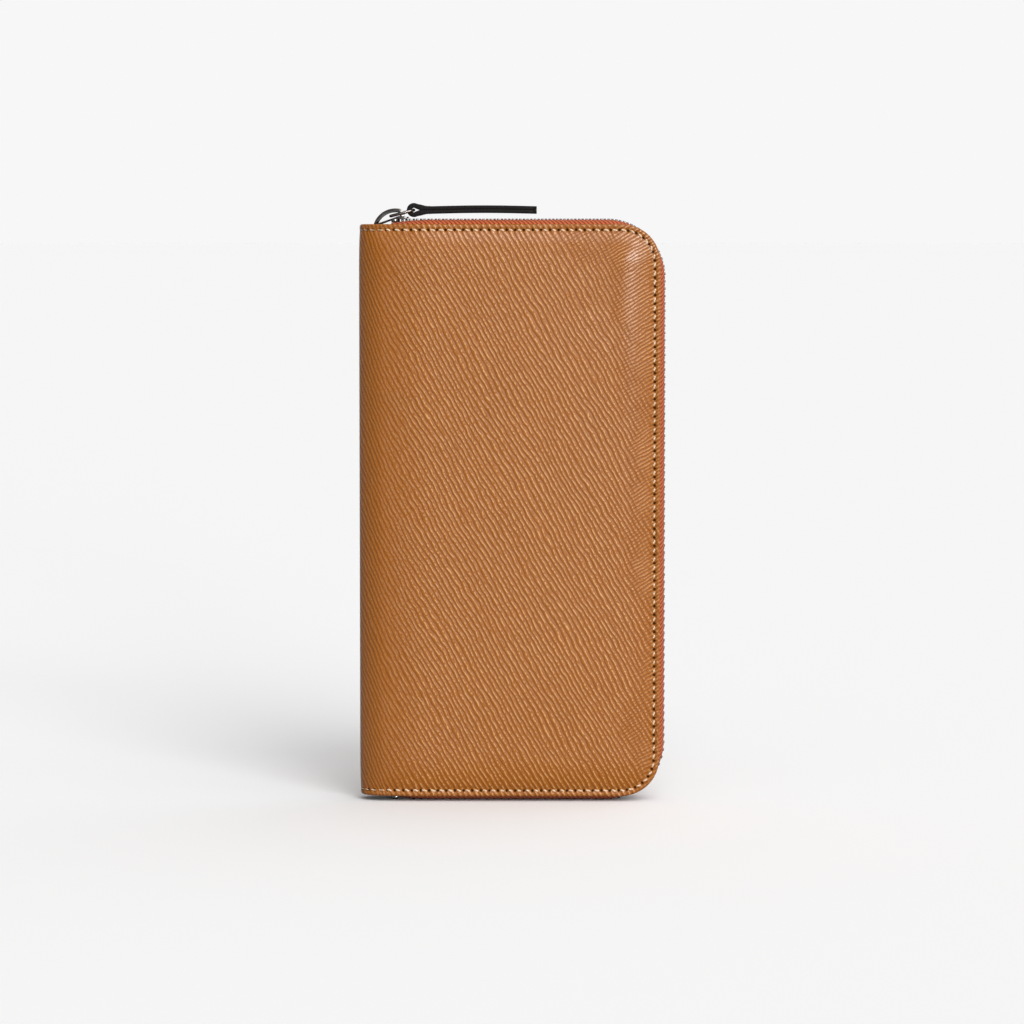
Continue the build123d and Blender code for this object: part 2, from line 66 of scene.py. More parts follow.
# %% Places and sizes shared by several pieces
spine_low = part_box("spine_leather")[0]
cover_low, cover_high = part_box("front_outer_leather")
fold_low, fold_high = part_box("front_fold_leather")
SPINE_X = spine_low.x / MM
EDGE_X = cover_high.x / MM
FOLD_X = (fold_low.x + fold_high.x) / 2 / MM
LOW_Z = cover_low.z / MM
HIGH_Z = cover_high.z / MM
DEPTH = -cover_low.y / MM
SPINE_RADIUS = FOLD_X - SPINE_X
FLAT = DEPTH - SPINE_RADIUS
CORNER = 13.0
STITCH_INSET = 2.1
print("cover from", round(FOLD_X, 2), "to", round(EDGE_X, 2), "mm, spine radius", round(SPINE_RADIUS, 2))

# %% [markdown]
# ## Camera, light and floor
# The wallet is looked at from the front with a long lens, the camera level with its top edge and tipped
# down to its middle. A broad key light stands in front at the right, forty degrees high, a lower one
# fills the side, and a small faint one near the camera draws the sheen on the leather. They are sun lamps,
# which light every part of the floor alike, so it melts into the backdrop and only a soft shadow remains.

# %% Camera, light and floor
CAMERA_X = -0.0003
CAMERA_AWAY = 1.4
BACKDROP = 0.93
SKY = 0.6
SKY_TILT = 0.66
ROOM = 0.22
KEY = 1.3
SIDE = 0.8
SHEEN = 0.5
middle_z = (LOW_Z + HIGH_Z) / 2 * MM
camera_data = bpy.data.cameras.new("camera")
camera = bpy.data.objects.new("camera", camera_data)
bpy.context.scene.collection.objects.link(camera)
camera_data.lens = 145.5
camera_data.sensor_width = 36
camera.location = (CAMERA_X, -CAMERA_AWAY - DEPTH * MM, HIGH_Z * MM)
aim = Vector((CAMERA_X, -DEPTH * MM, middle_z)) - camera.location
camera.rotation_euler = aim.to_track_quat("-Z", "Y").to_euler()
bpy.context.scene.camera = camera


def studio_light(name, energy, softness, to_right, above):
    """A wide sun lamp that shines from the front, some degrees to the right and above the floor."""
    data = bpy.data.lights.new(name, "SUN")
    data.energy = energy
    data.angle = radians(softness)
    lamp = bpy.data.objects.new(name, data)
    bpy.context.scene.collection.objects.link(lamp)
    side, rise = radians(to_right), radians(above)
    towards = Vector((-sin(side) * cos(rise), cos(side) * cos(rise), -sin(rise)))
    lamp.rotation_euler = towards.to_track_quat("-Z", "Y").to_euler()
    print(name, "shines towards", [round(v, 2) for v in towards])


studio_light("key_light", KEY, 38, 16, 40)
studio_light("side_light", SIDE, 24, 24, 16)
studio_light("sheen_light", SHEEN, 9, 13, 6)
bpy.context.scene.view_settings.view_transform = "Standard"
print("camera at", [round(v, 4) for v in camera.location])

# %% [markdown]
# ## Building node trees
# Every finish below is a node tree. The helper add_node adds one node, sets its options, and for each named
# input either sets the value or joins the wire, so that a tree reads as a list of steps. The others give a
# name to a step that many finishes use.

# %% Building node trees
def set_inputs(tree, node, inputs):
    """Give each input, by its name or number, a value or a wire."""
    for socket_name, value in dict(inputs).items():
        socket = node.inputs[socket_name]
        if isinstance(value, bpy.types.NodeSocket):
            tree.links.new(value, socket)
        else:
            socket.default_value = value


def add_node(tree, kind, inputs=(), **options):
    made = tree.nodes.new(kind)
    for option, value in options.items():
        setattr(made, option, value)
    set_inputs(tree, made, inputs)
    return made


def maths(tree, operation, first, second=0.0, third=0.0):
    return add_node(tree, "ShaderNodeMath", {0: first, 1: second, 2: third}, operation=operation).outputs[0]


def rest_of(tree, share):
    """What is left of 1 when a share is taken away."""
    return maths(tree, "SUBTRACT", 1.0, share)


def blend_colours(tree, share, first, second):
    return add_node(tree, "ShaderNodeMix", {0: share, 6: first, 7: second}, data_type="RGBA").outputs[2]


def noise(tree, vector, scale, detail=2.0):
    """Clouds from 0 to 1."""
    made = add_node(tree, "ShaderNodeTexNoise", {"Vector": vector, "Scale": scale, "Detail": detail})
    return made.outputs["Fac"]


def bumps(tree, height, distance, strength):
    """A normal that follows a height. A height of 1 stands this distance proud, in metres."""
    made = add_node(tree, "ShaderNodeBump", {"Height": height, "Distance": distance, "Strength": strength})
    return made.outputs[0]


def object_place(tree, scale=None, turn=0):
    """Object coordinates, and where a scale is given, turned round X by some degrees and stretched."""
    place = add_node(tree, "ShaderNodeTexCoord").outputs["Object"]
    if scale:
        turned = {"Vector": place, "Rotation": (radians(turn), 0, 0), "Scale": scale}
        place = add_node(tree, "ShaderNodeMapping", turned).outputs[0]
    return place


def step_up(tree, value, low, high):
    """0 below low, 1 above high, and a smooth rise between."""
    limits = {"Value": value, "From Min": low, "From Max": high}
    return add_node(tree, "ShaderNodeMapRange", limits, interpolation_type="SMOOTHSTEP").outputs[0]


def new_material(name):
    material = bpy.data.materials.new(name)
    material.use_nodes = True
    tree = material.node_tree
    shader = tree.nodes["Principled BSDF"]
    return material, tree, shader


def new_group(name, inputs, outputs):
    """A shader node group with named inputs (kind and default) and outputs."""
    tree = bpy.data.node_groups.new(name, "ShaderNodeTree")
    for label, (kind, value) in inputs.items():
        socket = tree.interface.new_socket(name=label, in_out="INPUT", socket_type="NodeSocket" + kind)
        if value is not None:
            socket.default_value = value
    for label, kind in outputs.items():
        tree.interface.new_socket(name=label, in_out="OUTPUT", socket_type="NodeSocket" + kind)
    return tree, tree.nodes.new("NodeGroupInput"), tree.nodes.new("NodeGroupOutput")


def use_group(tree, group, inputs=()):
    return add_node(tree, "ShaderNodeGroup", inputs, node_tree=group)


# %% [markdown]
# ## Studio and floor finish
# The world is the pale studio. The camera sees the backdrop's own brightness. Metal mirrors that only
# behind the wallet, and a dim room in front of it. The surfaces are lit by a dimmer sky, dimmer still on
# the left. The floor is matt paper, mottled by less than the eye can tell. Only the camera sees how pale it
# is: other rays find it much darker, so that it throws little light up again.

# %% Studio and floor finish
world = bpy.data.worlds.new("studio")
world.use_nodes = True
bpy.context.scene.world = world
sky = world.node_tree.nodes["Background"]
sky.inputs["Color"].default_value = (1, 1, 1, 1)
rays = add_node(world.node_tree, "ShaderNodeLightPath")
seen = maths(world.node_tree, "MAXIMUM", rays.outputs["Is Camera Ray"], rays.outputs["Is Glossy Ray"])
seen = maths(world.node_tree, "MAXIMUM", seen, rays.outputs["Is Transmission Ray"])
direction = add_node(world.node_tree, "ShaderNodeTexCoord")
sideways = add_node(world.node_tree, "ShaderNodeSeparateXYZ", {"Vector": direction.outputs["Generated"]})
lit = maths(world.node_tree, "MULTIPLY_ADD", sideways.outputs["X"], SKY_TILT, SKY)
behind = step_up(world.node_tree, sideways.outputs["Y"], 0.5, 0.98)
mirrored_studio = maths(world.node_tree, "MULTIPLY_ADD", behind, BACKDROP - ROOM, ROOM)
shown = {0: rays.outputs["Is Camera Ray"], 2: mirrored_studio, 3: BACKDROP}
shown = add_node(world.node_tree, "ShaderNodeMix", shown, data_type="FLOAT")
strength = {0: seen, 2: lit, 3: shown.outputs[0]}
strength = add_node(world.node_tree, "ShaderNodeMix", strength, data_type="FLOAT")
world.node_tree.links.new(strength.outputs[0], sky.inputs["Strength"])

bpy.ops.object.select_all(action="DESELECT")
bpy.ops.mesh.primitive_plane_add(size=80, location=(0, 0, 0))
floor = bpy.context.object
floor.name = "floor"
paper, tree, shader = new_material("floor_paper")
mottle = noise(tree, object_place(tree), 900.0)
paper_colour = blend_colours(tree, mottle, (0.96, 0.96, 0.96, 1), (0.97, 0.97, 0.97, 1))
rays = add_node(tree, "ShaderNodeLightPath")
paper_colour = blend_colours(tree, rays.outputs["Is Camera Ray"], (0.45, 0.45, 0.45, 1), paper_colour)
set_inputs(tree, shader, {"Base Color": paper_colour, "Roughness": 1.0, "Specular IOR Level": 0.0})
floor.data.materials.append(paper)
print("floor and studio ready")

# %% [markdown]
# ## Working by hand, from a script
# Each new piece starts as a primitive and is shaped in edit mode with the same operators that the menus
# call. An operator acts on what is selected, so a small helper picks vertices, edges or faces by their
# place, and others extrude or carry a row of edges along. The pieces are drawn in millimetres and shrunk
# to metres at the end, when the object's own scale is applied.

# %% Helpers for edit mode
def only(piece):
    """Leave edit mode and make this the only selected object."""
    if bpy.context.object and bpy.context.object.mode != "OBJECT":
        bpy.ops.object.mode_set(mode="OBJECT")
    bpy.ops.object.select_all(action="DESELECT")
    if piece:
        bpy.context.view_layer.objects.active = piece
        piece.select_set(True)


def begin(name, add, place, turn=(0, 0, 0), stretch=(1, 1, 1), **settings):
    """Add a primitive at its place, in millimetres, and go into edit mode."""
    only(None)
    add(location=place, rotation=[radians(angle) for angle in turn], **settings)
    piece = bpy.context.object
    piece.name = piece.data.name = name
    piece.scale = stretch
    bpy.ops.object.transform_apply(location=True, rotation=True, scale=True)
    bpy.ops.object.mode_set(mode="EDIT")
    return piece


def upright(name, x0, x1, z0, z1, y, add=bpy.ops.mesh.primitive_plane_add, **settings):
    """Begin with a plane or grid that stands between two widths and two heights, at this depth."""
    return begin(name, add, place=((x0 + x1) / 2, y, (z0 + z1) / 2), turn=(90, 0, 0),
                 stretch=(x1 - x0, z1 - z0, 1), size=1, **settings)


def pick(kind, test):
    """Select only the vertices, edges or faces that pass a test of the part and its middle."""
    bpy.ops.mesh.select_mode(type=kind)
    bpy.ops.mesh.select_all(action="DESELECT")
    mesh = bmesh.from_edit_mesh(bpy.context.object.data)
    count = 0
    for part in {"VERT": mesh.verts, "EDGE": mesh.edges, "FACE": mesh.faces}[kind]:
        middle = part.co if kind == "VERT" else sum((v.co for v in part.verts), Vector()) / len(part.verts)
        if test(part, middle):
            part.select_set(True)
            count += 1
    mesh.select_flush_mode()
    bmesh.update_edit_mesh(bpy.context.object.data)
    return count


def extrude(x, y, z):
    bpy.ops.mesh.extrude_region_move(TRANSFORM_OT_translate={"value": (x, y, z)})


def boundary(edge):
    return len(edge.link_faces) == 1


def finish_edit(piece, merge=0.01, facing=None):
    """Merge doubles, turn the faces outwards, leave edit mode and shrink millimetres to metres."""
    bpy.ops.mesh.select_all(action="SELECT")
    bpy.ops.mesh.remove_doubles(threshold=merge)
    bpy.ops.mesh.normals_make_consistent(inside=False)
    bpy.ops.object.mode_set(mode="OBJECT")
    if facing and sum(face.normal.dot(Vector(facing)) * face.area for face in piece.data.polygons) < 0:
        piece.data.flip_normals()
    piece.scale = (MM, MM, MM)
    only(piece)
    bpy.ops.object.transform_apply(location=True, rotation=True, scale=True)
    return piece


def modify(piece, kind, **settings):
    """Add a modifier, set it and apply it."""
    only(piece)
    modifier = piece.modifiers.new(kind.title(), kind)
    for setting, value in settings.items():
        setattr(modifier, setting, value)
    bpy.ops.object.modifier_apply(modifier=modifier.name)


def thicken(piece, thickness, offset=-1, **settings):
    """Give a sheet its thickness, in millimetres."""
    modify(piece, "SOLIDIFY", thickness=thickness * MM, offset=offset, use_rim=True, **settings)


def round_edges(piece, width, angle, segments=2):
    """Round the edges that are sharper than an angle. The width is in millimetres."""
    sharp = radians(angle)
    modify(piece, "BEVEL", width=width * MM, segments=segments, limit_method="ANGLE", angle_limit=sharp)


def smooth(piece, angle):
    only(piece)
    bpy.ops.object.shade_smooth_by_angle(angle=radians(angle))


def mirrored(piece, name):
    """A copy on the other side of the middle plane, its faces turned the right way out again."""
    copy = bpy.data.objects.new(name, piece.data.copy())
    copy.data.name = name
    bpy.context.scene.collection.objects.link(copy)
    copy.data.transform(Matrix.Scale(-1, 4, (0, 1, 0)))
    copy.data.flip_normals()
    return copy


def box_of(piece):
    corners = [[v.co[i] / MM for v in piece.data.vertices] for i in range(3)]
    return [round(min(c), 2) for c in corners], [round(max(c), 2) for c in corners]


def limits_of(node):
    """A CAD node's limits in millimetres: x0, x1, y0, y1, z0, z1."""
    low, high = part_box(node)
    return [value / MM for value in (low.x, high.x, low.y, high.y, low.z, high.z)]


def settle(piece, body, slot, *nodes):
    """Let a piece ride on a body and stand for CAD nodes; the slot is not used."""
    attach(piece, body)
    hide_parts(*nodes)


def finish_with(material, *pieces):
    for piece in pieces:
        piece.data.materials.append(material)


# %% [markdown]
# ## A cover's leather
# Each cover is leather over thin foam: nearly flat in the middle, rounded down to a stitched rim, and
# turned over at the edge. One could loft it or sculpt it, but it is easier to control as a grid of nearly
# square faces, because the rim's section can then be extruded step by step, as a maker folds it.
# The grid covers the flat middle. Its top, side and bottom edges are extruded along the rim's section, the
# two free corners are spun, and the fold side is spun a quarter turn to become half of the rounded spine.

# %% The section of the rim, from the crown outwards: inset from the edge, and depth
RIM_SECTION = (
    (CORNER, 10.92), (11.0, 10.81), (9.0, 10.65), (7.2, 10.42), (5.7, 10.13), (4.5, 9.83),
    (3.6, 9.54), (2.9, 9.26), (2.1, 9.12), (1.55, 9.32), (1.05, 9.46), (0.5, 9.34), (0.12, 9.0), (0.05, 8.5),
    (0.3, 8.22), (0.9, 8.2),
)


def extrude_section(section, across):
    """Extrude the selected edges along a section. `across` turns a step outwards into a direction."""
    for (inset, depth), (next_inset, next_depth) in zip(section, section[1:]):
        step = inset - next_inset
        extrude(across[0] * step, depth - next_depth, across[1] * step)


def rim_depth(inset):
    """Depth of the leather's face at an inset, read off the section."""
    for (outer_inset, depth), (inner_inset, next_depth) in zip(RIM_SECTION, RIM_SECTION[1:]):
        if inner_inset <= inset <= outer_inset:
            share = (outer_inset - inset) / (outer_inset - inner_inset)
            return depth + share * (next_depth - depth)
    return RIM_SECTION[0][1]


def half_shell(name, section, columns, rows, spine_steps):
    """Half of the wallet's skin on the front side: a cover and its half of the spine."""
    reach, top = section[0]
    x0, x1 = FOLD_X, EDGE_X - reach
    z0, z1 = LOW_Z + reach, HIGH_Z - reach
    piece = upright(
        name, x0, x1, z0, z1, -top, bpy.ops.mesh.primitive_grid_add,
        x_subdivisions=columns, y_subdivisions=rows,
    )
    near = 0.01
    pick("EDGE", lambda e, m: abs(m.x - x1) < near)
    extrude_section(section, (1, 0))
    pick("EDGE", lambda e, m: abs(m.z - z1) < near and m.x < x1)
    extrude_section(section, (0, 1))
    pick("EDGE", lambda e, m: abs(m.z - z0) < near and m.x < x1)
    extrude_section(section, (0, -1))
    for corner_z, side in ((z1, 1), (z0, -1)):
        pick("EDGE", lambda e, m: abs(m.x - x1) < near and (m.z - corner_z) * side > 0 and boundary(e))
        bpy.ops.mesh.spin(steps=6, angle=radians(-90) * side, center=(x1, 0, corner_z), axis=(0, 1, 0))
    pick("EDGE", lambda e, m: abs(m.x - x0) < near and boundary(e))
    bpy.ops.mesh.spin(steps=spine_steps, angle=radians(90), center=(x0, -FLAT, 0), axis=(0, 0, 1))
    pick("EDGE", lambda e, m: abs(m.y + FLAT) < near and m.x < x0 and boundary(e))
    extrude(0, FLAT, 0)
    return finish_edit(piece, merge=0.02, facing=(-0.3, -1, 0))


front_leather = half_shell("front_leather", RIM_SECTION, columns=27, rows=57, spine_steps=9)
print("front leather:", len(front_leather.data.polygons), "faces,", box_of(front_leather))

# %% [markdown]
# ## Crown, spine and thickness
# Foam under the leather lifts the middle of a cover a little, which proportional editing gives. Round the
# spine nothing is pressed together, so the stitched channel grows shallow there: each vertex of the spine
# moves out from the fold's axis by a share of what the channel took away. The surface is subdivided while
# it is still one sheet, so that its cut edges stay where they are, and then it gets the leather's thickness.

# %% Crown, spine and thickness
SPINE_PINCH = 0.15
BOW = 0.32
BOW_REACH = 17.0
SPINE_SWELL = 0.55
CROWN = 1.0
CROWN_REACH = 52
CROWN_END = 45


def swell(piece, amount, reach):
    """Lift the middle of a cover with proportional editing, all along the cover."""
    only(piece)
    bpy.ops.object.mode_set(mode="EDIT")
    middle = (FOLD_X + EDGE_X) / 2 * MM
    low, high = (LOW_Z + CROWN_END) * MM, (HIGH_Z - CROWN_END) * MM
    pick("VERT", lambda v, m: abs(m.x - middle) < 2 * MM and low < m.z < high and m.y < -0.01)
    bpy.ops.transform.translate(
        value=(0, -amount * MM, 0), use_proportional_edit=True, proportional_edit_falloff="SMOOTH",
        proportional_size=reach * MM,
    )
    bpy.ops.object.mode_set(mode="OBJECT")


def spine_radius_share(x):
    """How much of the stitched channel's depth is left at a place round the spine."""
    turn = min(1.0, max(0.0, (FOLD_X - x) / (SPINE_RADIUS * 0.7)))
    return 1 - (1 - SPINE_PINCH) * turn * turn * (3 - 2 * turn)


def ease_spine(piece):
    full = RIM_SECTION[0][1] - FLAT
    for vertex in piece.data.vertices:
        x, y = vertex.co.x / MM, vertex.co.y / MM
        if x >= FOLD_X - 0.001:
            continue
        arm = Vector((x - FOLD_X, min(0.0, y + FLAT)))
        taken = full - arm.length
        if taken > 0.001:
            inset = min(vertex.co.z / MM - LOW_Z, HIGH_Z - vertex.co.z / MM)
            ridge = RIM_SECTION[0][1] - rim_depth(1.05)
            edge = max(0.0, taken - ridge) if inset < 1.0 else 0.0
            longer = (full - edge - (taken - edge) * spine_radius_share(x)) / arm.length
            vertex.co.x = (FOLD_X + arm.x * longer) * MM
            if y < -FLAT:
                vertex.co.y = (-FLAT + arm.y * longer) * MM


def bowed(x, y):
    """Where a point goes when the cover bows towards the spine, so that both are one long curve."""
    near_spine = max(0.0, (FOLD_X + BOW_REACH - x) / (FOLD_X + BOW_REACH - SPINE_X))
    return x - SPINE_SWELL * near_spine**2, y * (1 - BOW * near_spine**2)


def round_off(piece):
    for vertex in piece.data.vertices:
        x, y = bowed(vertex.co.x / MM, vertex.co.y / MM)
        vertex.co.x, vertex.co.y = x * MM, y * MM


ease_spine(front_leather)
round_off(front_leather)
swell(front_leather, CROWN, CROWN_REACH)
print("crowned:", box_of(front_leather))

# %% [markdown]
# ## Two maps on the leather
# The embossed grain must run unbroken over the crown and round the spine, so it can't read plain
# coordinates. One UV map lays the skin out flat: its distance round the wallet, and its height. A second
# map follows the seam: the number of stitches along it, and the inset from the edge. Needle holes and the
# puckers beside them read that one.

# %% Two maps on the leather
USUAL_PITCH = 2.93
SEAM_STRAIGHT = EDGE_X - CORNER - FOLD_X
SEAM_ARC = (CORNER - STITCH_INSET) * pi / 2
SEAM_SIDE = HIGH_Z - LOW_Z - 2 * CORNER
SEAM_LENGTH = 2 * SEAM_STRAIGHT + 2 * SEAM_ARC + SEAM_SIDE
STITCHES = round(SEAM_LENGTH / USUAL_PITCH)
STITCH_PITCH = SEAM_LENGTH / STITCHES


def angle_of(across, up):
    """Angle of a direction from the first axis, from 0 to a quarter turn, or 0 for no length."""
    return Vector((1, 0)).angle(Vector((across, up)), 0.0)


def line_spot(x, z, part_x, part_z, bend, arc):
    """(distance along a rounded line, inset) of a place. `part_x` and `part_z` say which part it is on."""
    centre_x, top, low = EDGE_X - bend, HIGH_Z - bend, LOW_Z + bend
    straight, side = centre_x - FOLD_X, top - low
    if part_x > centre_x and part_z > top:
        along = straight + (pi / 2 - angle_of(x - centre_x, z - top)) * 2 / pi * arc
        return along, bend - sqrt((x - centre_x)**2 + (z - top)**2)
    if part_x > centre_x and part_z < low:
        along = straight + arc + side + angle_of(x - centre_x, low - z) * 2 / pi * arc
        return along, bend - sqrt((x - centre_x)**2 + (z - low)**2)
    if part_z > top:
        return x - FOLD_X, HIGH_Z - z
    if part_z < low:
        return straight + 2 * arc + side + centre_x - x, z - LOW_Z
    return straight + arc + top - z, EDGE_X - x


def map_skin(piece):
    """Write both maps: skin in centimetres, seam in stitches and millimetres."""
    skin = piece.data.uv_layers.new(name="skin")
    seam = piece.data.uv_layers.new(name="seam")
    for face in piece.data.polygons:
        middle = face.center / MM
        for corner in face.loop_indices:
            x, y, z = piece.data.vertices[piece.data.loops[corner].vertex_index].co / MM
            turn = pi / 2 - angle_of(FOLD_X - x, max(0.0, -FLAT - y))
            round_spine = turn * SPINE_RADIUS + max(0.0, y + FLAT)
            skin.data[corner].uv = ((max(x, FOLD_X) - (round_spine if x < FOLD_X else 0.0)) / 10, z / 10)
            if middle.x > FOLD_X:
                along, inset = line_spot(x, z, middle.x, middle.z, CORNER, SEAM_ARC)
            elif middle.z > (HIGH_Z + LOW_Z) / 2:
                along, inset = -round_spine, HIGH_Z - z
            else:
                along, inset = SEAM_LENGTH + round_spine, z - LOW_Z
            seam.data[corner].uv = (along / STITCH_PITCH, inset)


map_skin(front_leather)
modify(front_leather, "SUBSURF", levels=1, render_levels=1, boundary_smooth="PRESERVE_CORNERS")
thicken(front_leather, 1.12, use_even_offset=True)
smooth(front_leather, 50)
print(STITCHES, "stitches on a cover, pitch", round(STITCH_PITCH, 3), "mm;", box_of(front_leather))

# %% [markdown]
# ## The back half
# The back cover is the same shape, so it is a mirrored copy. Its grain map carries on round the spine,
# because both covers and the spine are one piece of hide. Each half's place is baked into its mesh, and it
# rides on no body.

# %% The back half
def shift_skin_map(piece):
    """Carry the flat skin map on round the spine, so that the back's grain follows the front's."""
    for corner in piece.data.uv_layers["skin"].data:
        seam_line = (FOLD_X - SPINE_RADIUS * pi / 2 - FLAT) / 10
        corner.uv = (2 * seam_line - corner.uv[0], corner.uv[1])


back_leather = mirrored(front_leather, "back_leather")
shift_skin_map(back_leather)


def fold_with(piece, cover):
    """Bake a piece's place into its mesh; both covers are treated alike."""
    if cover == "front_cover":
        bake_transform(piece)
    else:
        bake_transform(piece)


fold_with(front_leather, "front_cover")
fold_with(back_leather, "back_cover")
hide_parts("front_outer_leather", "front_fold_leather")
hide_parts("back_outer_leather", "back_fold_leather", "spine_leather")
print("leather halves:", box_of(front_leather), box_of(back_leather))

# %% [markdown]
# ## Copies along a line
# Stitches and teeth repeat. Each is modelled once at the origin, pointing along X with its top towards Z,
# then copied with its own mesh to every place on the line, and the copies are joined into one piece.

# %% Copies along a line
def copies(name, model, places):
    """Copy a model, with its own mesh, to every place, and join the copies. Places are in millimetres."""
    made = []
    for place in places:
        copy = bpy.data.objects.new(name, model.data.copy())
        bpy.context.scene.collection.objects.link(copy)
        copy.data.transform(Matrix.Scale(MM, 4) @ place @ Matrix.Scale(1 / MM, 4))
        made.append(copy)
    only(made[0])
    for copy in made:
        copy.select_set(True)
    bpy.ops.object.join()
    made[0].name = made[0].data.name = name
    return made[0]


def discard(piece):
    bpy.data.meshes.remove(piece.data)


def place(x, y, z, ahead, up):
    """A place and a direction: X goes ahead and Z goes up. Both are directions in space."""
    ahead, up = Vector(ahead).normalized(), Vector(up).normalized()
    side = up.cross(ahead).normalized()
    turned = Matrix((ahead, side, ahead.cross(side))).transposed().to_4x4()
    return Matrix.Translation((x, y, z)) @ turned


def on_line(along, inset, bend, arc):
    """(x, z, turn) at a distance along a rounded line, from the fold at the top to the one at the bottom."""
    centre_x, top, low = EDGE_X - bend, HIGH_Z - bend, LOW_Z + bend
    straight, side, radius = centre_x - FOLD_X, top - low, bend - inset
    if along < straight:
        return FOLD_X + along, HIGH_Z - inset, 0.0
    if along < straight + arc:
        turn = (along - straight) / arc * pi / 2
        return centre_x + radius * sin(turn), top + radius * cos(turn), turn
    if along < straight + arc + side:
        return EDGE_X - inset, top - (along - straight - arc), pi / 2
    if along < straight + 2 * arc + side:
        turn = pi / 2 + (along - straight - arc - side) / arc * pi / 2
        return centre_x + radius * sin(turn), low + radius * cos(turn), turn
    return centre_x - (along - straight - 2 * arc - side), LOW_Z + inset, pi


def seam_place(along, inset, depth):
    """A place on the front cover's seam, from the fold at the top, its Z away from the cover."""
    x, z, turn = on_line(along, inset, CORNER, SEAM_ARC)
    x, y = bowed(x, -depth)
    return place(x, y, z, (cos(turn), 0, -sin(turn)), (0, -1, 0))


def spine_seam_place(angle, inset, low):
    """A place on the seam round the spine, at an angle from the front cover's side."""
    full = RIM_SECTION[0][1] - FLAT
    share = spine_radius_share(FOLD_X - SPINE_RADIUS * sin(angle))
    radius = full - (RIM_SECTION[0][1] - rim_depth(inset)) * share
    x, y = bowed(FOLD_X - radius * sin(angle), -FLAT - radius * cos(angle))
    z = LOW_Z + inset if low else HIGH_Z - inset
    way = -1 if low else 1
    return place(x, y, z, (way * cos(angle), -way * sin(angle), 0), (-sin(angle), -cos(angle), 0))


# %% [markdown]
# ## Saddle stitches
# Thick waxed thread runs round each cover. Every stitch is a short fat bundle that dives into a hole at
# both ends and lies a little askew, because the needle goes in over one side of the thread. It starts as
# a small sphere, is drawn out, and its ends are pulled down and turned sideways with proportional editing.

# %% Saddle stitches
def stitch_model(length, width, height, slant):
    piece = begin("stitch", bpy.ops.mesh.primitive_uv_sphere_add, place=(0, 0, 0), turn=(0, 90, 0),
                  stretch=(height, width, length), radius=0.5, segments=8, ring_count=7)
    for side in (1, -1):
        pick("VERT", lambda v, m: m.x * side > length * 0.3)
        bpy.ops.transform.translate(value=(0, slant * side, -height * 0.35), use_proportional_edit=True,
                                    proportional_edit_falloff="SMOOTH", proportional_size=length * 0.5)
    piece = finish_edit(piece, merge=0.001)
    smooth(piece, 80)
    return piece


thread = stitch_model(2.1, 0.8, 0.72, -0.18)
fine_thread = stitch_model(2.3, 0.34, 0.3, -0.05)
seam_depth = rim_depth(STITCH_INSET) + 0.12
front_places = [seam_place((n + 0.5) * STITCH_PITCH, STITCH_INSET, seam_depth) for n in range(STITCHES)]
front_stitches = copies("front_stitches", thread, front_places)
spine_places = []
for n in range(4):
    for low in (False, True):
        spine_places.append(spine_seam_place((n + 0.55) * STITCH_PITCH / SPINE_RADIUS, STITCH_INSET, low))
spine_stitches = copies("front_spine_stitches", fine_thread, spine_places)
print("stitches:", len(front_stitches.data.polygons), "faces,", box_of(front_stitches))
only(front_stitches)
spine_stitches.select_set(True)
bpy.ops.object.join()
back_stitches = mirrored(front_stitches, "back_stitches")
for stitches, side in ((front_stitches, "front"), (back_stitches, "back")):
    fold_with(stitches, side + "_cover")
    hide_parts(side + "_edge_stitching")
discard(thread)
discard(fine_thread)

# %% [markdown]
# ## Embossed grain
# The hide is pressed with a fine slanting grain: long narrow ridges that run down to the right. Where the
# hide is drawn round a rim, a second set of finer ridges crosses them, cuts them into cells, and takes
# over. A ridge comes from the distance to its line, which a ping-pong of the distance across all ridges
# gives. Noise that is stretched along the ridges bends them, so that they wander as real grain does. The
# group reads a flat skin map in centimetres and gives a height, the crests, which the tan leather paints
# pale as a painted highlight, and a slow patchiness.

# %% Embossed grain
def bent(tree, across, along, wide, long, seed, amount):
    """Noise that changes quickly across the ridges and slowly along them, from minus to plus amount."""
    spot = add_node(tree, "ShaderNodeCombineXYZ", {
        "X": maths(tree, "DIVIDE", across, wide), "Y": maths(tree, "DIVIDE", along, long), "Z": seed,
    })
    return maths(tree, "MULTIPLY_ADD", noise(tree, spot.outputs[0], 1.0, 1.5), 2 * amount, -amount)


def ridge_set(tree, across, along, pitch, seed):
    """(height, crest) of one set of ridges: round-topped, with narrow creases and broken crests."""
    shifted = maths(tree, "ADD", across, bent(tree, across, along, 1.5, 3.6, seed, 0.18))
    shifted = maths(tree, "ADD", shifted, bent(tree, across, along, 0.26, 0.42, seed + 3, 0.06))
    from_crest = maths(tree, "PINGPONG", maths(tree, "DIVIDE", shifted, pitch), 0.5)
    lump = bent(tree, across, along, 0.07, 0.075, seed + 6, 1.0)
    height = rest_of(tree, maths(tree, "POWER", maths(tree, "MULTIPLY", from_crest, 2.0), 1.6))
    crest = rest_of(tree, step_up(tree, from_crest, 0.02, 0.17))
    broken = step_up(tree, lump, -0.3, 0.18)
    height = maths(tree, "MULTIPLY", height, maths(tree, "MULTIPLY_ADD", broken, 0.45, 0.55))
    return height, maths(tree, "MULTIPLY", crest, broken)


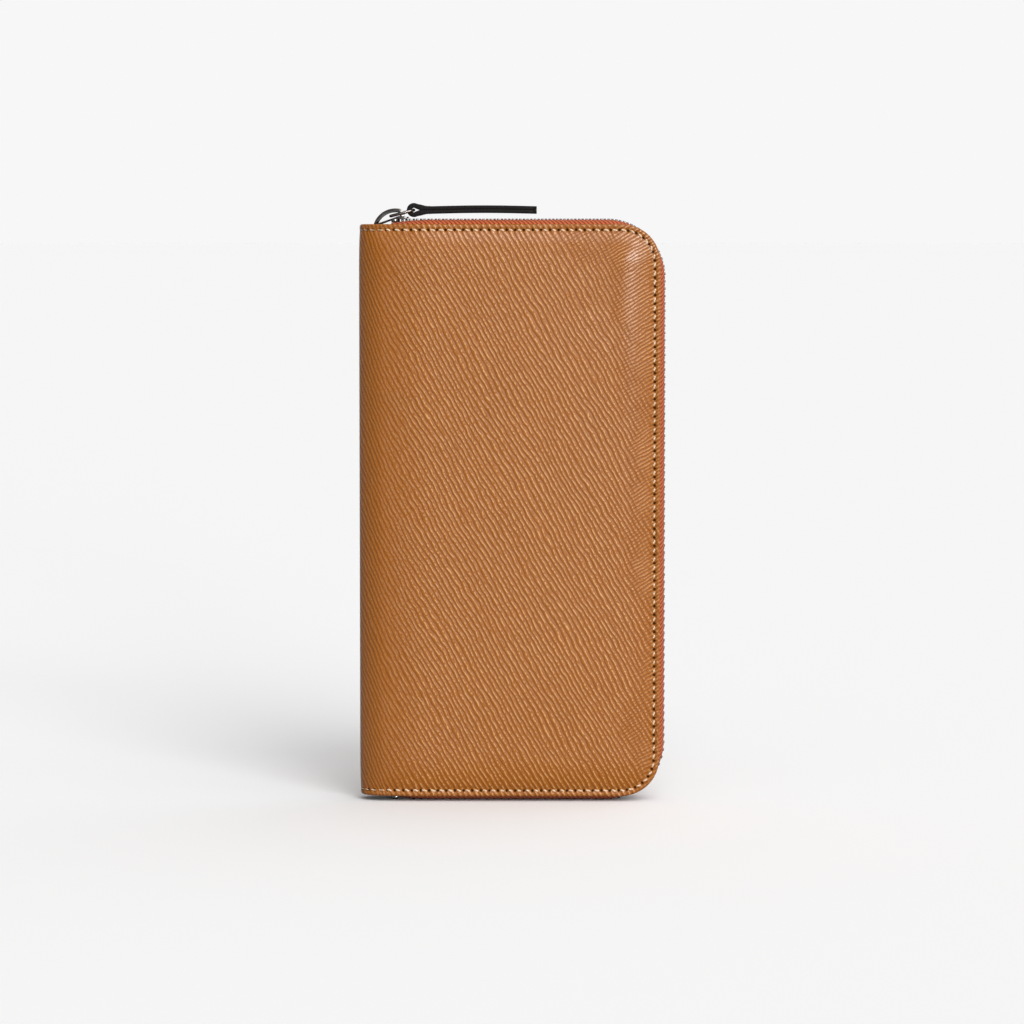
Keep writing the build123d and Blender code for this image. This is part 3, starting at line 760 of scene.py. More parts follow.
grain, group_in, group_out = new_group(
    "embossed_grain",
    {"Vector": ("Vector", None), "Pitch": ("Float", 0.17), "Angle": ("Float", 1.05), "Cross": ("Float", 0.3)},
    {"Height": "Float", "Crest": "Float", "Patch": "Float"},
)
split = add_node(grain, "ShaderNodeSeparateXYZ", {"Vector": group_in.outputs["Vector"]})
turn_cos = maths(grain, "COSINE", group_in.outputs["Angle"])
turn_sin = maths(grain, "SINE", group_in.outputs["Angle"])
across = maths(grain, "MULTIPLY_ADD", split.outputs["X"], turn_sin,
               maths(grain, "MULTIPLY", split.outputs["Y"], turn_cos))
along = maths(grain, "SUBTRACT", maths(grain, "MULTIPLY", split.outputs["X"], turn_cos),
              maths(grain, "MULTIPLY", split.outputs["Y"], turn_sin))
pitch = group_in.outputs["Pitch"]
long_height, long_crest = ridge_set(grain, across, along, pitch, 0.0)
cross_height, cross_crest = ridge_set(grain, along, across, maths(grain, "MULTIPLY", pitch, 0.7), 20.0)
patches = noise(grain, group_in.outputs["Vector"], 0.6)
patchy = maths(grain, "MULTIPLY_ADD", patches, 1.1, -0.55)
crossed = step_up(grain, maths(grain, "ADD", group_in.outputs["Cross"], patchy), 0.05, 0.95)
long_share = rest_of(grain, step_up(grain, crossed, 0.45, 1.0))
cross_share = step_up(grain, crossed, 0.0, 0.6)
cross_only = rest_of(grain, long_share)
cells = maths(grain, "SUBTRACT", maths(grain, "MINIMUM", long_height, cross_height), long_height)
height = maths(grain, "MULTIPLY_ADD", cells, cross_share, long_height)
height = maths(grain, "MULTIPLY_ADD", maths(grain, "SUBTRACT", cross_height, height), cross_only, height)
cut = maths(grain, "MULTIPLY", cross_share, rest_of(grain, cross_height))
long_crest = maths(grain, "MULTIPLY", maths(grain, "MULTIPLY", long_crest, long_share), rest_of(grain, cut))
crest = maths(grain, "MAXIMUM", long_crest, maths(grain, "MULTIPLY", cross_crest, cross_only))
pores = noise(grain, group_in.outputs["Vector"], 28.0, 3.0)
height = maths(grain, "MULTIPLY_ADD", pores, 0.25, height)
set_inputs(grain, group_out, {"Height": height, "Crest": crest, "Patch": patches})
print("grain group:", len(grain.nodes), "nodes")

# %% [markdown]
# ## Tan leather
# The creases between the ridges are painted darker, a painted shade, and their crests paler, a painted
# highlight in place of glints, weaker where the spine is bent. The stitched channel has a needle hole
# between every two stitches, painted nearly black as painted shade, and the leather is drawn down beside
# each. The seam map gives both: its first number passes a whole number at every hole. The hot plate that
# pressed the grain left the tops of the ridges flat and glossy, so only they have a coat, which ignores
# the bumps.

# %% Tan leather
tan, tree, shader = new_material("tan_leather")
skin = add_node(tree, "ShaderNodeUVMap", uv_map="skin")
seam = add_node(tree, "ShaderNodeUVMap", uv_map="seam")
seam_split = add_node(tree, "ShaderNodeSeparateXYZ", {"Vector": seam.outputs[0]})
inset = seam_split.outputs["Y"]
skin_split = add_node(tree, "ShaderNodeSeparateXYZ", {"Vector": skin.outputs[0]})
from_free_edge = maths(tree, "SUBTRACT", EDGE_X / 10, skin_split.outputs["X"])
free_edge = rest_of(tree, step_up(tree, from_free_edge, 0.4, 1.9))
free_half = rest_of(tree, step_up(tree, from_free_edge, 1.4, 5.5))
upper = step_up(tree, skin_split.outputs["Y"], 12.0, 19.0)
cross = maths(tree, "MULTIPLY_ADD", free_edge, 0.55, 0.06)
cross = maths(tree, "MULTIPLY_ADD", maths(tree, "MULTIPLY", free_half, upper), 0.42, cross)
hide = use_group(tree, grain, {"Vector": skin.outputs[0], "Pitch": 0.162, "Angle": 1.05, "Cross": cross})
whole = maths(tree, "FRACT", maths(tree, "ADD", seam_split.outputs["X"], 0.5))
from_hole = maths(tree, "MULTIPLY", maths(tree, "SUBTRACT", whole, 0.5), STITCH_PITCH)
from_line = maths(tree, "SUBTRACT", inset, STITCH_INSET)
squares = maths(tree, "ADD", maths(tree, "POWER", from_hole, 2.0), maths(tree, "POWER", from_line, 2.0))
hole_distance = maths(tree, "SQRT", squares)
hole = rest_of(tree, step_up(tree, hole_distance, 0.22, 0.66))
pucker = rest_of(tree, step_up(tree, hole_distance, 0.3, 1.9))
body_colour = blend_colours(tree, hide.outputs["Patch"], (0.325, 0.1, 0.006, 1), (0.37, 0.116, 0.008, 1))
# Painted shade: the creases between the ridges are coloured darker than the body.
out_of_crease_shade = step_up(tree, hide.outputs["Height"], 0.05, 0.6)
colour = blend_colours(tree, out_of_crease_shade, (0.22, 0.062, 0.005, 1), body_colour)
# Painted highlight: the crests are coloured pale in place of glints, less so round the spine.
off_spine = step_up(tree, skin_split.outputs["X"], FOLD_X / 10 - 0.3, FOLD_X / 10 + 1.5)
crest_highlight = maths(tree, "MULTIPLY", hide.outputs["Crest"], maths(tree, "MULTIPLY_ADD", off_spine, 0.72, 0.28))
colour = blend_colours(tree, crest_highlight, colour, (0.68, 0.345, 0.125, 1))
# Painted shade: each needle hole is coloured nearly black.
colour = blend_colours(tree, hole, colour, (0.045, 0.014, 0.004, 1))
height = maths(tree, "MULTIPLY_ADD", hole, -2.2, hide.outputs["Height"])
height = maths(tree, "MULTIPLY_ADD", pucker, -1.3, height)
pressed = maths(tree, "MULTIPLY", step_up(tree, hide.outputs["Height"], 0.25, 0.85), 0.75)
set_inputs(tree, shader, {
    "Base Color": colour,
    "Normal": bumps(tree, height, 0.00018, 0.85),
    "Roughness": maths(tree, "MULTIPLY_ADD", hide.outputs["Crest"], -0.06, 0.33),
    "Coat Weight": maths(tree, "MULTIPLY", pressed, rest_of(tree, hole)),
    "Coat Roughness": 0.2,
    "Specular IOR Level": maths(tree, "MULTIPLY_ADD", hole, -0.28, 0.28),
})
finish_with(tan, front_leather, back_leather)

# %% [markdown]
# ## Zip tapes
# A zip tape is a woven ribbon. It is sewn flat under the leather's rim, turns over the edge and leans in to
# the teeth. Its section is drawn by extruding a strip sideways, and the end of that strip is then carried
# along the zip line: straight, round a corner with a spin, down the side, and back. Both ends sink a
# little beside the spine, where the zip stops and nothing holds the tape up.

# %% Zip tapes
ZIP_BEND = 18.0
TOOTH_LOW = 0.4
ZIP_ARC = (ZIP_BEND + TOOTH_LOW) * pi / 2
TAPE_START = 2.0
TAPE_SECTION = (
    (-6.2, 8.16), (-3.0, 8.16), (-1.2, 8.13), (-0.35, 7.95), (0.25, 7.3), (0.75, 6.4), (1.08, 5.4),
    (1.32, 4.4), (1.4, 3.5), (1.4, 2.6),
)


def carry(test, straight, steps, direction):
    """Extrude the open edges whose middle passes the test, in equal steps, along a straight."""
    pick("EDGE", lambda e, m: boundary(e) and test(m))
    for _ in range(steps):
        extrude(direction[0] * straight / steps, 0, direction[1] * straight / steps)


def along_zip(name, section, start_x, corner_steps):
    """A strip with this section, carried along the zip line from the fold at the top to the bottom."""
    centre_x, top, low = EDGE_X - ZIP_BEND, HIGH_Z - ZIP_BEND, LOW_Z + ZIP_BEND
    straight = centre_x - start_x
    first = straight / 12
    (rise, depth), edge_z, end_x = section[0], HIGH_Z + section[1][0], start_x + first
    piece = upright(name, start_x, end_x, HIGH_Z + rise, edge_z, -depth)
    pick("EDGE", lambda e, m: abs(m.z - edge_z) < 0.01)
    for (last_rise, last_depth), (rise, depth) in zip(section[1:], section[2:]):
        extrude(0, last_depth - depth, rise - last_rise)
    carry(lambda m: abs(m.x - end_x) < 0.01, straight - first, 11, (1, 0))
    bpy.ops.mesh.spin(steps=corner_steps, angle=radians(-90), center=(centre_x, 0, top), axis=(0, 1, 0))
    carry(lambda m: abs(m.z - top) < 0.01 and m.x > centre_x, top - low, 26, (0, -1))
    bpy.ops.mesh.spin(steps=corner_steps, angle=radians(-90), center=(centre_x, 0, low), axis=(0, 1, 0))
    carry(lambda m: abs(m.x - centre_x) < 0.01 and m.z < low, straight, 12, (-1, 0))
    return finish_edit(piece, merge=0.02, facing=(1, 0, 0))


def map_ribbon(piece):
    """A map along the ribbon and across it, in millimetres, for the weave."""
    weave = piece.data.uv_layers.new(name="ribbon")
    for face in piece.data.polygons:
        for corner in face.loop_indices:
            x, y, z = piece.data.vertices[piece.data.loops[corner].vertex_index].co / MM
            along, inset = line_spot(x, z, x, z, ZIP_BEND, ZIP_ARC)
            weave.data[corner].uv = (along, -inset - abs(y))


def dip_ends(piece, depth, reach):
    """Sink both ends of the zip beside the spine, most at the very end."""
    for vertex in piece.data.vertices:
        past_fold = vertex.co.x / MM - FOLD_X
        side = 1 if vertex.co.z / MM > (HIGH_Z + LOW_Z) / 2 else -1
        over_edge = (vertex.co.z / MM - HIGH_Z) * side if side > 0 else LOW_Z - vertex.co.z / MM
        if past_fold < reach and over_edge > -1.5:
            share = 1 - past_fold / reach
            vertex.co.z -= side * depth * share * share * min(1.0, (over_edge + 1.5) / 2) * MM


front_tape = along_zip("front_tape", TAPE_SECTION, FOLD_X + TAPE_START, corner_steps=14)
map_ribbon(front_tape)
dip_ends(front_tape, depth=1.5, reach=15)
thicken(front_tape, 0.5)
round_edges(front_tape, 0.12, 60)
smooth(front_tape, 50)
back_tape = mirrored(front_tape, "back_tape")
for tape, side in ((front_tape, "front"), (back_tape, "back")):
    settle(tape, side + "_cover", "zip_tape", side + "_zip_tape")
print("front tape:", len(front_tape.data.polygons), "faces,", box_of(front_tape))

# %% [markdown]
# ## Zip teeth
# A metal tooth is a leg clamped over the tape's edge and a slim head with a nib, which locks between two
# heads of the other row. One tooth starts as a cube, is drawn out towards the head, narrowed there, and
# its corners are rounded. The other row is half a pitch further on.

# %% Zip teeth
TOOTH_PITCH = 2.5
TOOTH_HIGH = 1.75
TOOTH_ROOT = 2.85
TOOTH_REACH = 0.9
FIRST_TOOTH = 5.8


def tooth_model():
    """A tooth of the front row: its root at minus Y, its head across the middle plane."""
    middle = (0, -TOOTH_ROOT + 0.6, (TOOTH_LOW + TOOTH_HIGH) / 2)
    size = (0.9, 1.2, TOOTH_HIGH - TOOTH_LOW)
    piece = begin("tooth", bpy.ops.mesh.primitive_cube_add, place=middle, stretch=size, size=1)
    pick("FACE", lambda f, m: f.normal.y > 0.9)
    extrude(0, 0.55, 0)
    bpy.ops.transform.resize(value=(0.72, 1, 0.8))
    extrude(0, 1.15, 0)
    extrude(0, TOOTH_ROOT + TOOTH_REACH - 2.9, 0)
    bpy.ops.transform.resize(value=(0.8, 1, 0.72))
    pick("FACE", lambda f, m: f.normal.z > 0.7 and -1.4 < m.y < 0.2)
    bpy.ops.mesh.inset(thickness=0.14, depth=-0.1)
    piece = finish_edit(piece, merge=0.001)
    round_edges(piece, 0.13, 35, segments=1)
    smooth(piece, 50)
    return piece


def zip_place(along):
    """A place on the zip line, over the leather's edge: X along it and Z outwards."""
    x, z, turn = on_line(along, 0.0, ZIP_BEND, ZIP_ARC)
    return place(x, 0, z, (cos(turn), 0, -sin(turn)), (sin(turn), 0, cos(turn)))


tooth = tooth_model()
zip_length = 2 * (EDGE_X - ZIP_BEND - FOLD_X) + 2 * ZIP_ARC + HIGH_Z - LOW_Z - 2 * ZIP_BEND
tooth_count = int((zip_length - 2 * FIRST_TOOTH) / TOOTH_PITCH)
flip = Matrix.Rotation(pi, 4, "Z")
front_row = [zip_place(FIRST_TOOTH + n * TOOTH_PITCH) for n in range(tooth_count)]
back_row = [zip_place(FIRST_TOOTH + (n + 0.5) * TOOTH_PITCH) @ flip for n in range(tooth_count)]
front_teeth = copies("front_teeth", tooth, front_row)
back_teeth = copies("back_teeth", tooth, back_row)
for teeth, side in ((front_teeth, "front"), (back_teeth, "back")):
    runs = [side + "_zip_teeth_" + run for run in ("top", "side", "bottom")]
    settle(teeth, side + "_cover", "nickel", *runs)
print(2 * tooth_count, "teeth of", len(tooth.data.polygons), "faces;", box_of(front_teeth))
discard(tooth)

# %% [markdown]
# ## Slider
# The slider's two plates, their flanges and the post that joins them are cast in one with the loop on top.
# Its CAD solid has the right shape, so a copy is kept: its loose triangles are merged, the flat ones are
# dissolved into whole faces, and its edges are rounded, as a tumbled casting's are.

# %% Slider
def cast_copy(node, name, body, rounding):
    """A merged copy of a CAD node with rounded edges, riding on its body in the node's place."""
    piece = bpy.data.objects.new(name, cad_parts[node].data.copy())
    piece.data.name = name
    bpy.context.scene.collection.objects.link(piece)
    piece.data.materials.clear()
    only(piece)
    bpy.ops.object.mode_set(mode="EDIT")
    bpy.ops.mesh.select_all(action="SELECT")
    bpy.ops.mesh.remove_doubles(threshold=0.002 * MM)
    bpy.ops.mesh.dissolve_limited(angle_limit=radians(1.5))
    bpy.ops.mesh.normals_make_consistent(inside=False)
    bpy.ops.object.mode_set(mode="OBJECT")
    round_edges(piece, rounding, 50)
    smooth(piece, 35)
    settle(piece, body, "nickel", node)
    return piece


slider = cast_copy("zip_slider", "slider", "zip_slider", 0.16)
print("slider:", len(slider.data.polygons), "faces,", box_of(slider))

# %% [markdown]
# ## Link
# A wire link hangs in the slider's loop and carries the strap. The wire's round section starts as a circle
# and is carried round the link: straight along a bar, a quarter turn, along a rail, and so on back to the
# start. It is drawn flat and then tipped up to where the frame has it.

# %% Link
LINK_LENGTH = 8.2
LINK_TILT = 14.5
LINK_HALF = 3.7
LINK_TURN = 1.7
WIRE = 0.5
link_low, link_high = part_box("pull_link")
LINK_X = link_low.x / MM + WIRE
LINK_Z = HIGH_Z + 2.6


def wire_link(name, length, half, turn, radius):
    """A closed ring of round wire in the XY plane, from X = 0 to X = length."""
    piece = begin(
        name, bpy.ops.mesh.primitive_circle_add, place=(0, 0, 0), turn=(90, 0, 0), vertices=12, radius=radius,
    )
    far, out = length - turn, half - turn
    extrude(0, out, 0)
    corners = ((turn, out), (far, out), (far, -out), (turn, -out))
    runs = ((far - turn, 0), (0, -2 * out), (turn - far, 0), (0, out))
    for (x, y), (run_x, run_y) in zip(corners, runs):
        bpy.ops.mesh.spin(steps=7, angle=radians(90), center=(x, y, 0), axis=(0, 0, 1))
        extrude(run_x, run_y, 0)
    return finish_edit(piece, merge=0.01)


def set_down(piece, x, y, z, turn=(0, 0, 0)):
    """Turn a piece that was drawn at the origin and move it to its place, in millimetres."""
    piece.rotation_euler = [radians(angle) for angle in turn]
    piece.location = (x * MM, y * MM, z * MM)
    only(piece)
    bpy.ops.object.transform_apply(location=True, rotation=True, scale=True)


link = wire_link("link", LINK_LENGTH, LINK_HALF, LINK_TURN, WIRE)
set_down(link, LINK_X, 0, LINK_Z, (0, -LINK_TILT, 0))
smooth(link, 60)
settle(link, "pull_link", "nickel", "pull_link")
print("link:", box_of(link), "CAD from", round(link_low.x / MM, 2), "to", round(link_high.x / MM, 2))

# %% [markdown]
# ## Strap
# The pull is one strip of black leather that goes round the link's far bar and comes back on itself. Its
# outer face is extruded from the tip to the eye, spun round the bar, and extruded back. The corners of
# both tips are rounded off, then the strip gets the thickness of one layer, and its edges are burnished.

# %% Strap
STRAP_HALF_WIDTH = 2.8
STRAP_HALF_THICK = 1.3
STRAP_LAYER = 1.305
STRAP_ARCH = 0.3
STRAP_TIP = SPINE_X + 60.0
eye_x = LINK_X + LINK_LENGTH * cos(radians(LINK_TILT))
eye_z = LINK_Z + LINK_LENGTH * sin(radians(LINK_TILT))
NECK = ((6.2, 1.3), (5.0, 1.33), (4.0, 1.44), (3.1, 1.66), (2.2, 1.9), (1.2, 2.078))


def strap_strip(name):
    first = (STRAP_TIP - eye_x - NECK[0][0]) / 12
    piece = begin(
        name, bpy.ops.mesh.primitive_plane_add, place=(STRAP_TIP - first / 2, 0, eye_z + STRAP_HALF_THICK),
        stretch=(first, 2 * STRAP_HALF_WIDTH, 1), size=1,
    )
    end_x = STRAP_TIP - first
    pick("EDGE", lambda e, m: abs(m.x - end_x) < 0.01)
    for _ in range(11):
        extrude(-first, 0, 0)
    for (x, z), (next_x, next_z) in zip(NECK, NECK[1:]):
        extrude(next_x - x, 0, next_z - z)
    bpy.ops.mesh.spin(steps=16, angle=radians(240), center=(eye_x, 0, eye_z), axis=(0, 1, 0))
    for (x, z), (next_x, next_z) in zip(NECK[::-1], NECK[-2::-1]):
        extrude(next_x - x, 0, z - next_z)
    for _ in range(12):
        extrude(first, 0, 0)
    pick("VERT", lambda v, m: abs(m.x - STRAP_TIP) < 0.01)
    bpy.ops.mesh.bevel(offset=2.0, segments=7, affect="VERTICES", profile=0.5)
    return finish_edit(piece, merge=0.01)


strap = strap_strip("strap")
top_face = max(strap.data.polygons, key=lambda face: face.center.z)
if top_face.normal.z < 0:
    strap.data.flip_normals()
thicken(strap, STRAP_LAYER)
# The inner face lies close round the bar, and past the eye the two layers touch.
for vertex in strap.data.vertices:
    arm = Vector((vertex.co.x - eye_x * MM, vertex.co.z - eye_z * MM))
    if 0.9 * MM < arm.length < 1.5 * MM and arm.x < 1.0 * MM:
        arm = arm.normalized() * 0.75 * MM
        vertex.co.x, vertex.co.z = eye_x * MM + arm.x, eye_z * MM + arm.y
    elif 1.7 * MM < arm.x and abs(arm.y) < 0.95 * MM:
        vertex.co.z = eye_z * MM
round_edges(strap, 0.16, 50)
for vertex in strap.data.vertices:
    past_neck = (vertex.co.x / MM - eye_x - NECK[0][0]) / (STRAP_TIP - eye_x - NECK[0][0])
    if past_neck > 0:
        vertex.co.z += STRAP_ARCH * sin(pi * min(1.0, past_neck)) * MM
smooth(strap, 50)
settle(strap, "pull_strap", "black_leather", "pull_strap")
print("strap:", len(strap.data.polygons), "faces,", box_of(strap))

# %% [markdown]
# ## Thread on the strap
# Two short rows of pale thread close the eye. The stitches slant, as they do where thread goes over and
# under both layers.

# %% Thread on the strap
strap_thread = stitch_model(2.0, 0.5, 0.42, -0.12)
strap_rows = []
for row, lift in ((3.75, 0.1), (5.3, 0.02)):
    for y in (-1.85, 0, 1.85):
        for face in (1, -1):
            z = eye_z + face * (STRAP_HALF_THICK + lift)
            strap_rows.append(place(eye_x + row, y, z, (0.35, 1, 0), (0, 0, face)))
strap_stitches = copies("strap_stitches", strap_thread, strap_rows)
discard(strap_thread)
settle(strap_stitches, "pull_strap", "tan_thread", "strap_stitching")
print("strap stitches:", len(strap_rows), box_of(strap_stitches))

# %% [markdown]
# ## Woven cloth
# Zip tape and lining are twills: yarns that pass over and under each other one step further in each row,
# which makes slanting ribs. The group draws the ribs across one direction and the separate yarns across
# the other. It reads millimetres, and puts out a height, the gaps, which the cloths paint dark as painted
# shade, and a slow unevenness of the dye.

# %% Woven cloth
twill, group_in, group_out = new_group(
    "twill",
    {"Vector": ("Vector", None), "Rib": ("Float", 0.8), "Yarn": ("Float", 0.5), "Slant": ("Float", 0.8)},
    {"Height": "Float", "Gap": "Float", "Dye": "Float"},
)
split = add_node(twill, "ShaderNodeSeparateXYZ", {"Vector": group_in.outputs["Vector"]})
waver = maths(twill, "MULTIPLY_ADD", noise(twill, group_in.outputs["Vector"], 0.8), 0.3, -0.15)
rib_place = maths(twill, "MULTIPLY_ADD", split.outputs["Y"], group_in.outputs["Slant"], split.outputs["X"])
rib_place = maths(twill, "DIVIDE", maths(twill, "ADD", rib_place, waver), group_in.outputs["Rib"])
rib = maths(twill, "MULTIPLY", maths(twill, "PINGPONG", rib_place, 0.5), 2.0)
yarn_place = maths(twill, "MULTIPLY_ADD", split.outputs["X"], -0.35, split.outputs["Y"])
yarn = maths(twill, "PINGPONG", maths(twill, "DIVIDE", yarn_place, group_in.outputs["Yarn"]), 0.5)
yarn = maths(twill, "MULTIPLY", yarn, 2.0)
rounded_rib = maths(twill, "SQRT", rest_of(twill, maths(twill, "POWER", rib, 2.0)))
rounded_yarn = maths(twill, "SQRT", rest_of(twill, maths(twill, "POWER", yarn, 2.0)))
cloth_height = maths(twill, "MULTIPLY", rounded_rib, maths(twill, "MULTIPLY_ADD", rounded_yarn, 0.5, 0.5))
dye = noise(twill, group_in.outputs["Vector"], 0.25, 3.0)
set_inputs(twill, group_out, {"Height": cloth_height, "Gap": rest_of(twill, cloth_height), "Dye": dye})


def cloth_material(name, light, middle, dark, rib, yarn, slant, map_name, bump_height):
    """A matt twill. It reads the piece's own ribbon map, or object coordinates turned into millimetres."""
    material, tree, shader = new_material(name)
    if map_name:
        vector = add_node(tree, "ShaderNodeUVMap", uv_map=map_name).outputs[0]
    else:
        vector = object_place(tree, (1000, 1000, 1000), 90)
    weave = use_group(tree, twill, {"Vector": vector, "Rib": rib, "Yarn": yarn, "Slant": slant})
    colour = blend_colours(tree, weave.outputs["Dye"], middle, light)
    # Painted shade: the gaps between ribs and yarns are coloured dark.
    gap_shade = step_up(tree, weave.outputs["Gap"], 0.06, 0.62)
    set_inputs(tree, shader, {
        "Base Color": blend_colours(tree, gap_shade, colour, dark),
        "Normal": bumps(tree, weave.outputs["Height"], bump_height, 0.9),
        "Roughness": 0.75, "Specular IOR Level": 0.25, "Sheen Weight": 0.05, "Sheen Roughness": 0.5,
    })
    return material


tape_cloth = cloth_material(
    "zip_tape", (0.68, 0.16, 0.045, 1), (0.56, 0.105, 0.025, 1), (0.14, 0.012, 0.003, 1),
    rib=1.45, yarn=0.9, slant=0.4, map_name="ribbon", bump_height=0.0002,
)
finish_with(tape_cloth, front_tape, back_tape)

# %% [markdown]
# ## Nickel
# Plated castings and wire are polished but not perfect: the finish clouds a little, and fine scratches run
# over it. The clouding drives the roughness and the tint. Both base colours are kept far darker than
# nickel, a painted dark reflection in place of the dark studio that the metal would mirror. The outer zip's
# teeth are stamped from the same metal but only tumbled, so they are duller, and their colour is darker
# still, painted shade.

# %% Nickel
nickel, tree, shader = new_material("nickel")
cloud = noise(tree, object_place(tree), 260.0, 3.0)
scratch = noise(tree, object_place(tree, (900, 4000, 2200)), 1.0)
# Painted dark reflection: a dark base colour stands in for dark surroundings mirrored in the metal.
set_inputs(tree, shader, {
    "Base Color": blend_colours(tree, cloud, (0.14, 0.13, 0.122, 1), (0.27, 0.255, 0.24, 1)),
    "Roughness": maths(tree, "MULTIPLY_ADD", cloud, 0.16, 0.08),
    "Normal": bumps(tree, scratch, 0.00001, 0.35),
    "Metallic": 1.0,
})
finish_with(nickel, slider, link)

tooth_metal, tree, shader = new_material("tooth_nickel")
cloud = noise(tree, object_place(tree), 900.0)
# Painted shade: the teeth's base colour is darker still.
set_inputs(tree, shader, {
    "Base Color": blend_colours(tree, cloud, (0.1, 0.088, 0.08, 1), (0.26, 0.24, 0.225, 1)),
    "Roughness": maths(tree, "MULTIPLY_ADD", cloud, 0.2, 0.2),
    "Metallic": 1.0,
})
finish_with(tooth_metal, front_teeth, back_teeth)

# %% [markdown]
# ## Black leather and threads
# The strap is smooth calf with a faint grain and burnished edges. The threads are twisted from two plies,
# which shows as slanting bands along each stitch, the grooves between them painted darker as painted shade,
# and wax makes them a little shiny.

# %% Black leather and threads
black, tree, shader = new_material("black_leather")
flat = object_place(tree, (100, 100, 100))
calf = use_group(tree, grain, {"Vector": flat, "Pitch": 0.055, "Angle": 0.5, "Cross": 0.5})
wear = noise(tree, object_place(tree), 180.0, 4.0)
# The grain's crests are coloured lighter.
lighter_crests = maths(tree, "MULTIPLY", calf.outputs["Crest"], 0.25)
colour = blend_colours(tree, wear, (0.003, 0.0025, 0.0025, 1), (0.014, 0.012, 0.012, 1))
set_inputs(tree, shader, {
    "Base Color": blend_colours(tree, lighter_crests, colour, (0.05, 0.045, 0.043, 1)),
    "Roughness": maths(tree, "MULTIPLY_ADD", wear, 0.2, 0.36),
    "Normal": bumps(tree, calf.outputs["Height"], 0.00004, 0.6),
    "Specular IOR Level": 0.1,
})
finish_with(black, strap)


def thread_material(name, light, dark):
    """Waxed thread: slanting plies across a stitch, on object coordinates, painted darker in the grooves as
    painted shade.
    """
    material, tree, shader = new_material(name)
    plies = {"Vector": object_place(tree), "Scale": 620.0, "Distortion": 1.5}
    plies = add_node(tree, "ShaderNodeTexWave", plies, bands_direction="DIAGONAL").outputs["Fac"]
    # Painted shade: the grooves between the plies are coloured darker.
    set_inputs(tree, shader, {
        "Base Color": blend_colours(tree, plies, dark, light),
        "Normal": bumps(tree, plies, 0.00008, 0.8), "Roughness": 0.55, "Specular IOR Level": 0.35,
    })
    return material


pale_thread = thread_material("pale_thread", (0.9, 0.72, 0.53, 1), (0.62, 0.4, 0.23, 1))
tan_thread = thread_material("tan_thread", (0.72, 0.5, 0.22, 1), (0.42, 0.24, 0.08, 1))
finish_with(pale_thread, front_stitches, back_stitches)
finish_with(tan_thread, strap_stitches)
print("materials:", [material.name for material in bpy.data.materials])

# %% [markdown]
# ## Lining
# Coral cloth lines both covers and the spine. On a cover it is a sheet glued to the board, its edge turned
# under and rounded at the free corners. It starts as a plane whose corners are rounded, then the hem is
# inset and lowered. In the spine it is a strip, spun round a smaller turn than the leather's.

# %% Lining
LINING_DEPTH = 7.56
LINING_THICK = 0.45
LINING_INSET = 1.6
BOARD_X = FOLD_X + 1.4


def lining_sheet(name):
    x1 = EDGE_X - LINING_INSET
    piece = upright(name, BOARD_X, x1, LOW_Z + LINING_INSET, HIGH_Z - LINING_INSET, -LINING_DEPTH)
    pick("VERT", lambda v, m: m.x > x1 - 1)
    bpy.ops.mesh.bevel(offset=16.4, segments=12, affect="VERTICES", profile=0.5)
    bpy.ops.mesh.select_all(action="SELECT")
    bpy.ops.mesh.inset(thickness=0.5)
    bpy.ops.mesh.inset(thickness=0.9, depth=-0.06)
    bpy.ops.mesh.inset(thickness=0.4, depth=0.06)
    bpy.ops.mesh.inset(thickness=5)
    piece = finish_edit(piece, facing=(0, 1, 0))
    thicken(piece, LINING_THICK, offset=1)
    round_edges(piece, 0.12, 50)
    smooth(piece, 35)
    return piece


def spine_strip(name, radius):
    """A half turn of cloth inside the spine, from the front fold to the back fold."""
    end = FOLD_X + 1.2
    piece = upright(
        name, FOLD_X, end, LOW_Z + LINING_INSET, HIGH_Z - LINING_INSET, -FLAT - radius,
        bpy.ops.mesh.primitive_grid_add, x_subdivisions=1, y_subdivisions=24,
    )
    pick("EDGE", lambda e, m: abs(m.x - FOLD_X) < 0.01)
    bpy.ops.mesh.spin(steps=8, angle=radians(90), center=(FOLD_X, -FLAT, 0), axis=(0, 0, 1))
    extrude(0, 2 * FLAT, 0)
    bpy.ops.mesh.spin(steps=8, angle=radians(90), center=(FOLD_X, FLAT, 0), axis=(0, 0, 1))
    extrude(end - FOLD_X, 0, 0)
    piece = finish_edit(piece, facing=(1, 0, 0))
    round_off(piece)
    thicken(piece, LINING_THICK, offset=1)
    smooth(piece, 50)
    return piece


front_lining = lining_sheet("front_lining_cloth")
back_lining = mirrored(front_lining, "back_lining_cloth")
spine_lining = spine_strip("spine_lining_cloth", 6.6)
lining_cloth = cloth_material(
    "lining_cloth", (0.5, 0.15, 0.07, 1), (0.4, 0.105, 0.045, 1), (0.2, 0.04, 0.018, 1),
    rib=0.5, yarn=0.32, slant=0.7, map_name=None, bump_height=0.00006,
)
finish_with(lining_cloth, front_lining, back_lining, spine_lining)
for lining, side in ((front_lining, "front"), (back_lining, "back")):
    settle(lining, side + "_cover", "lining_cloth", side + "_lining")
settle(spine_lining, "spine", "lining_cloth", "spine_lining")
print("linings:", box_of(front_lining), box_of(spine_lining))

# %% [markdown]
# ## Padding and board
# A sheet of foam under each cover's leather is skived thin towards its edges, so that the cover is full in
# the middle and flat at the seam. It starts as a plane with two rounded corners, which is extruded, and its
# outer face is then inset and lifted, step by step.
# The board behind it is hidden, so its CAD solid stays and only gets a fibrous finish.

# %% Padding and board
FOAM_INSET = 4.4
FOAM_DEPTH = 8.23


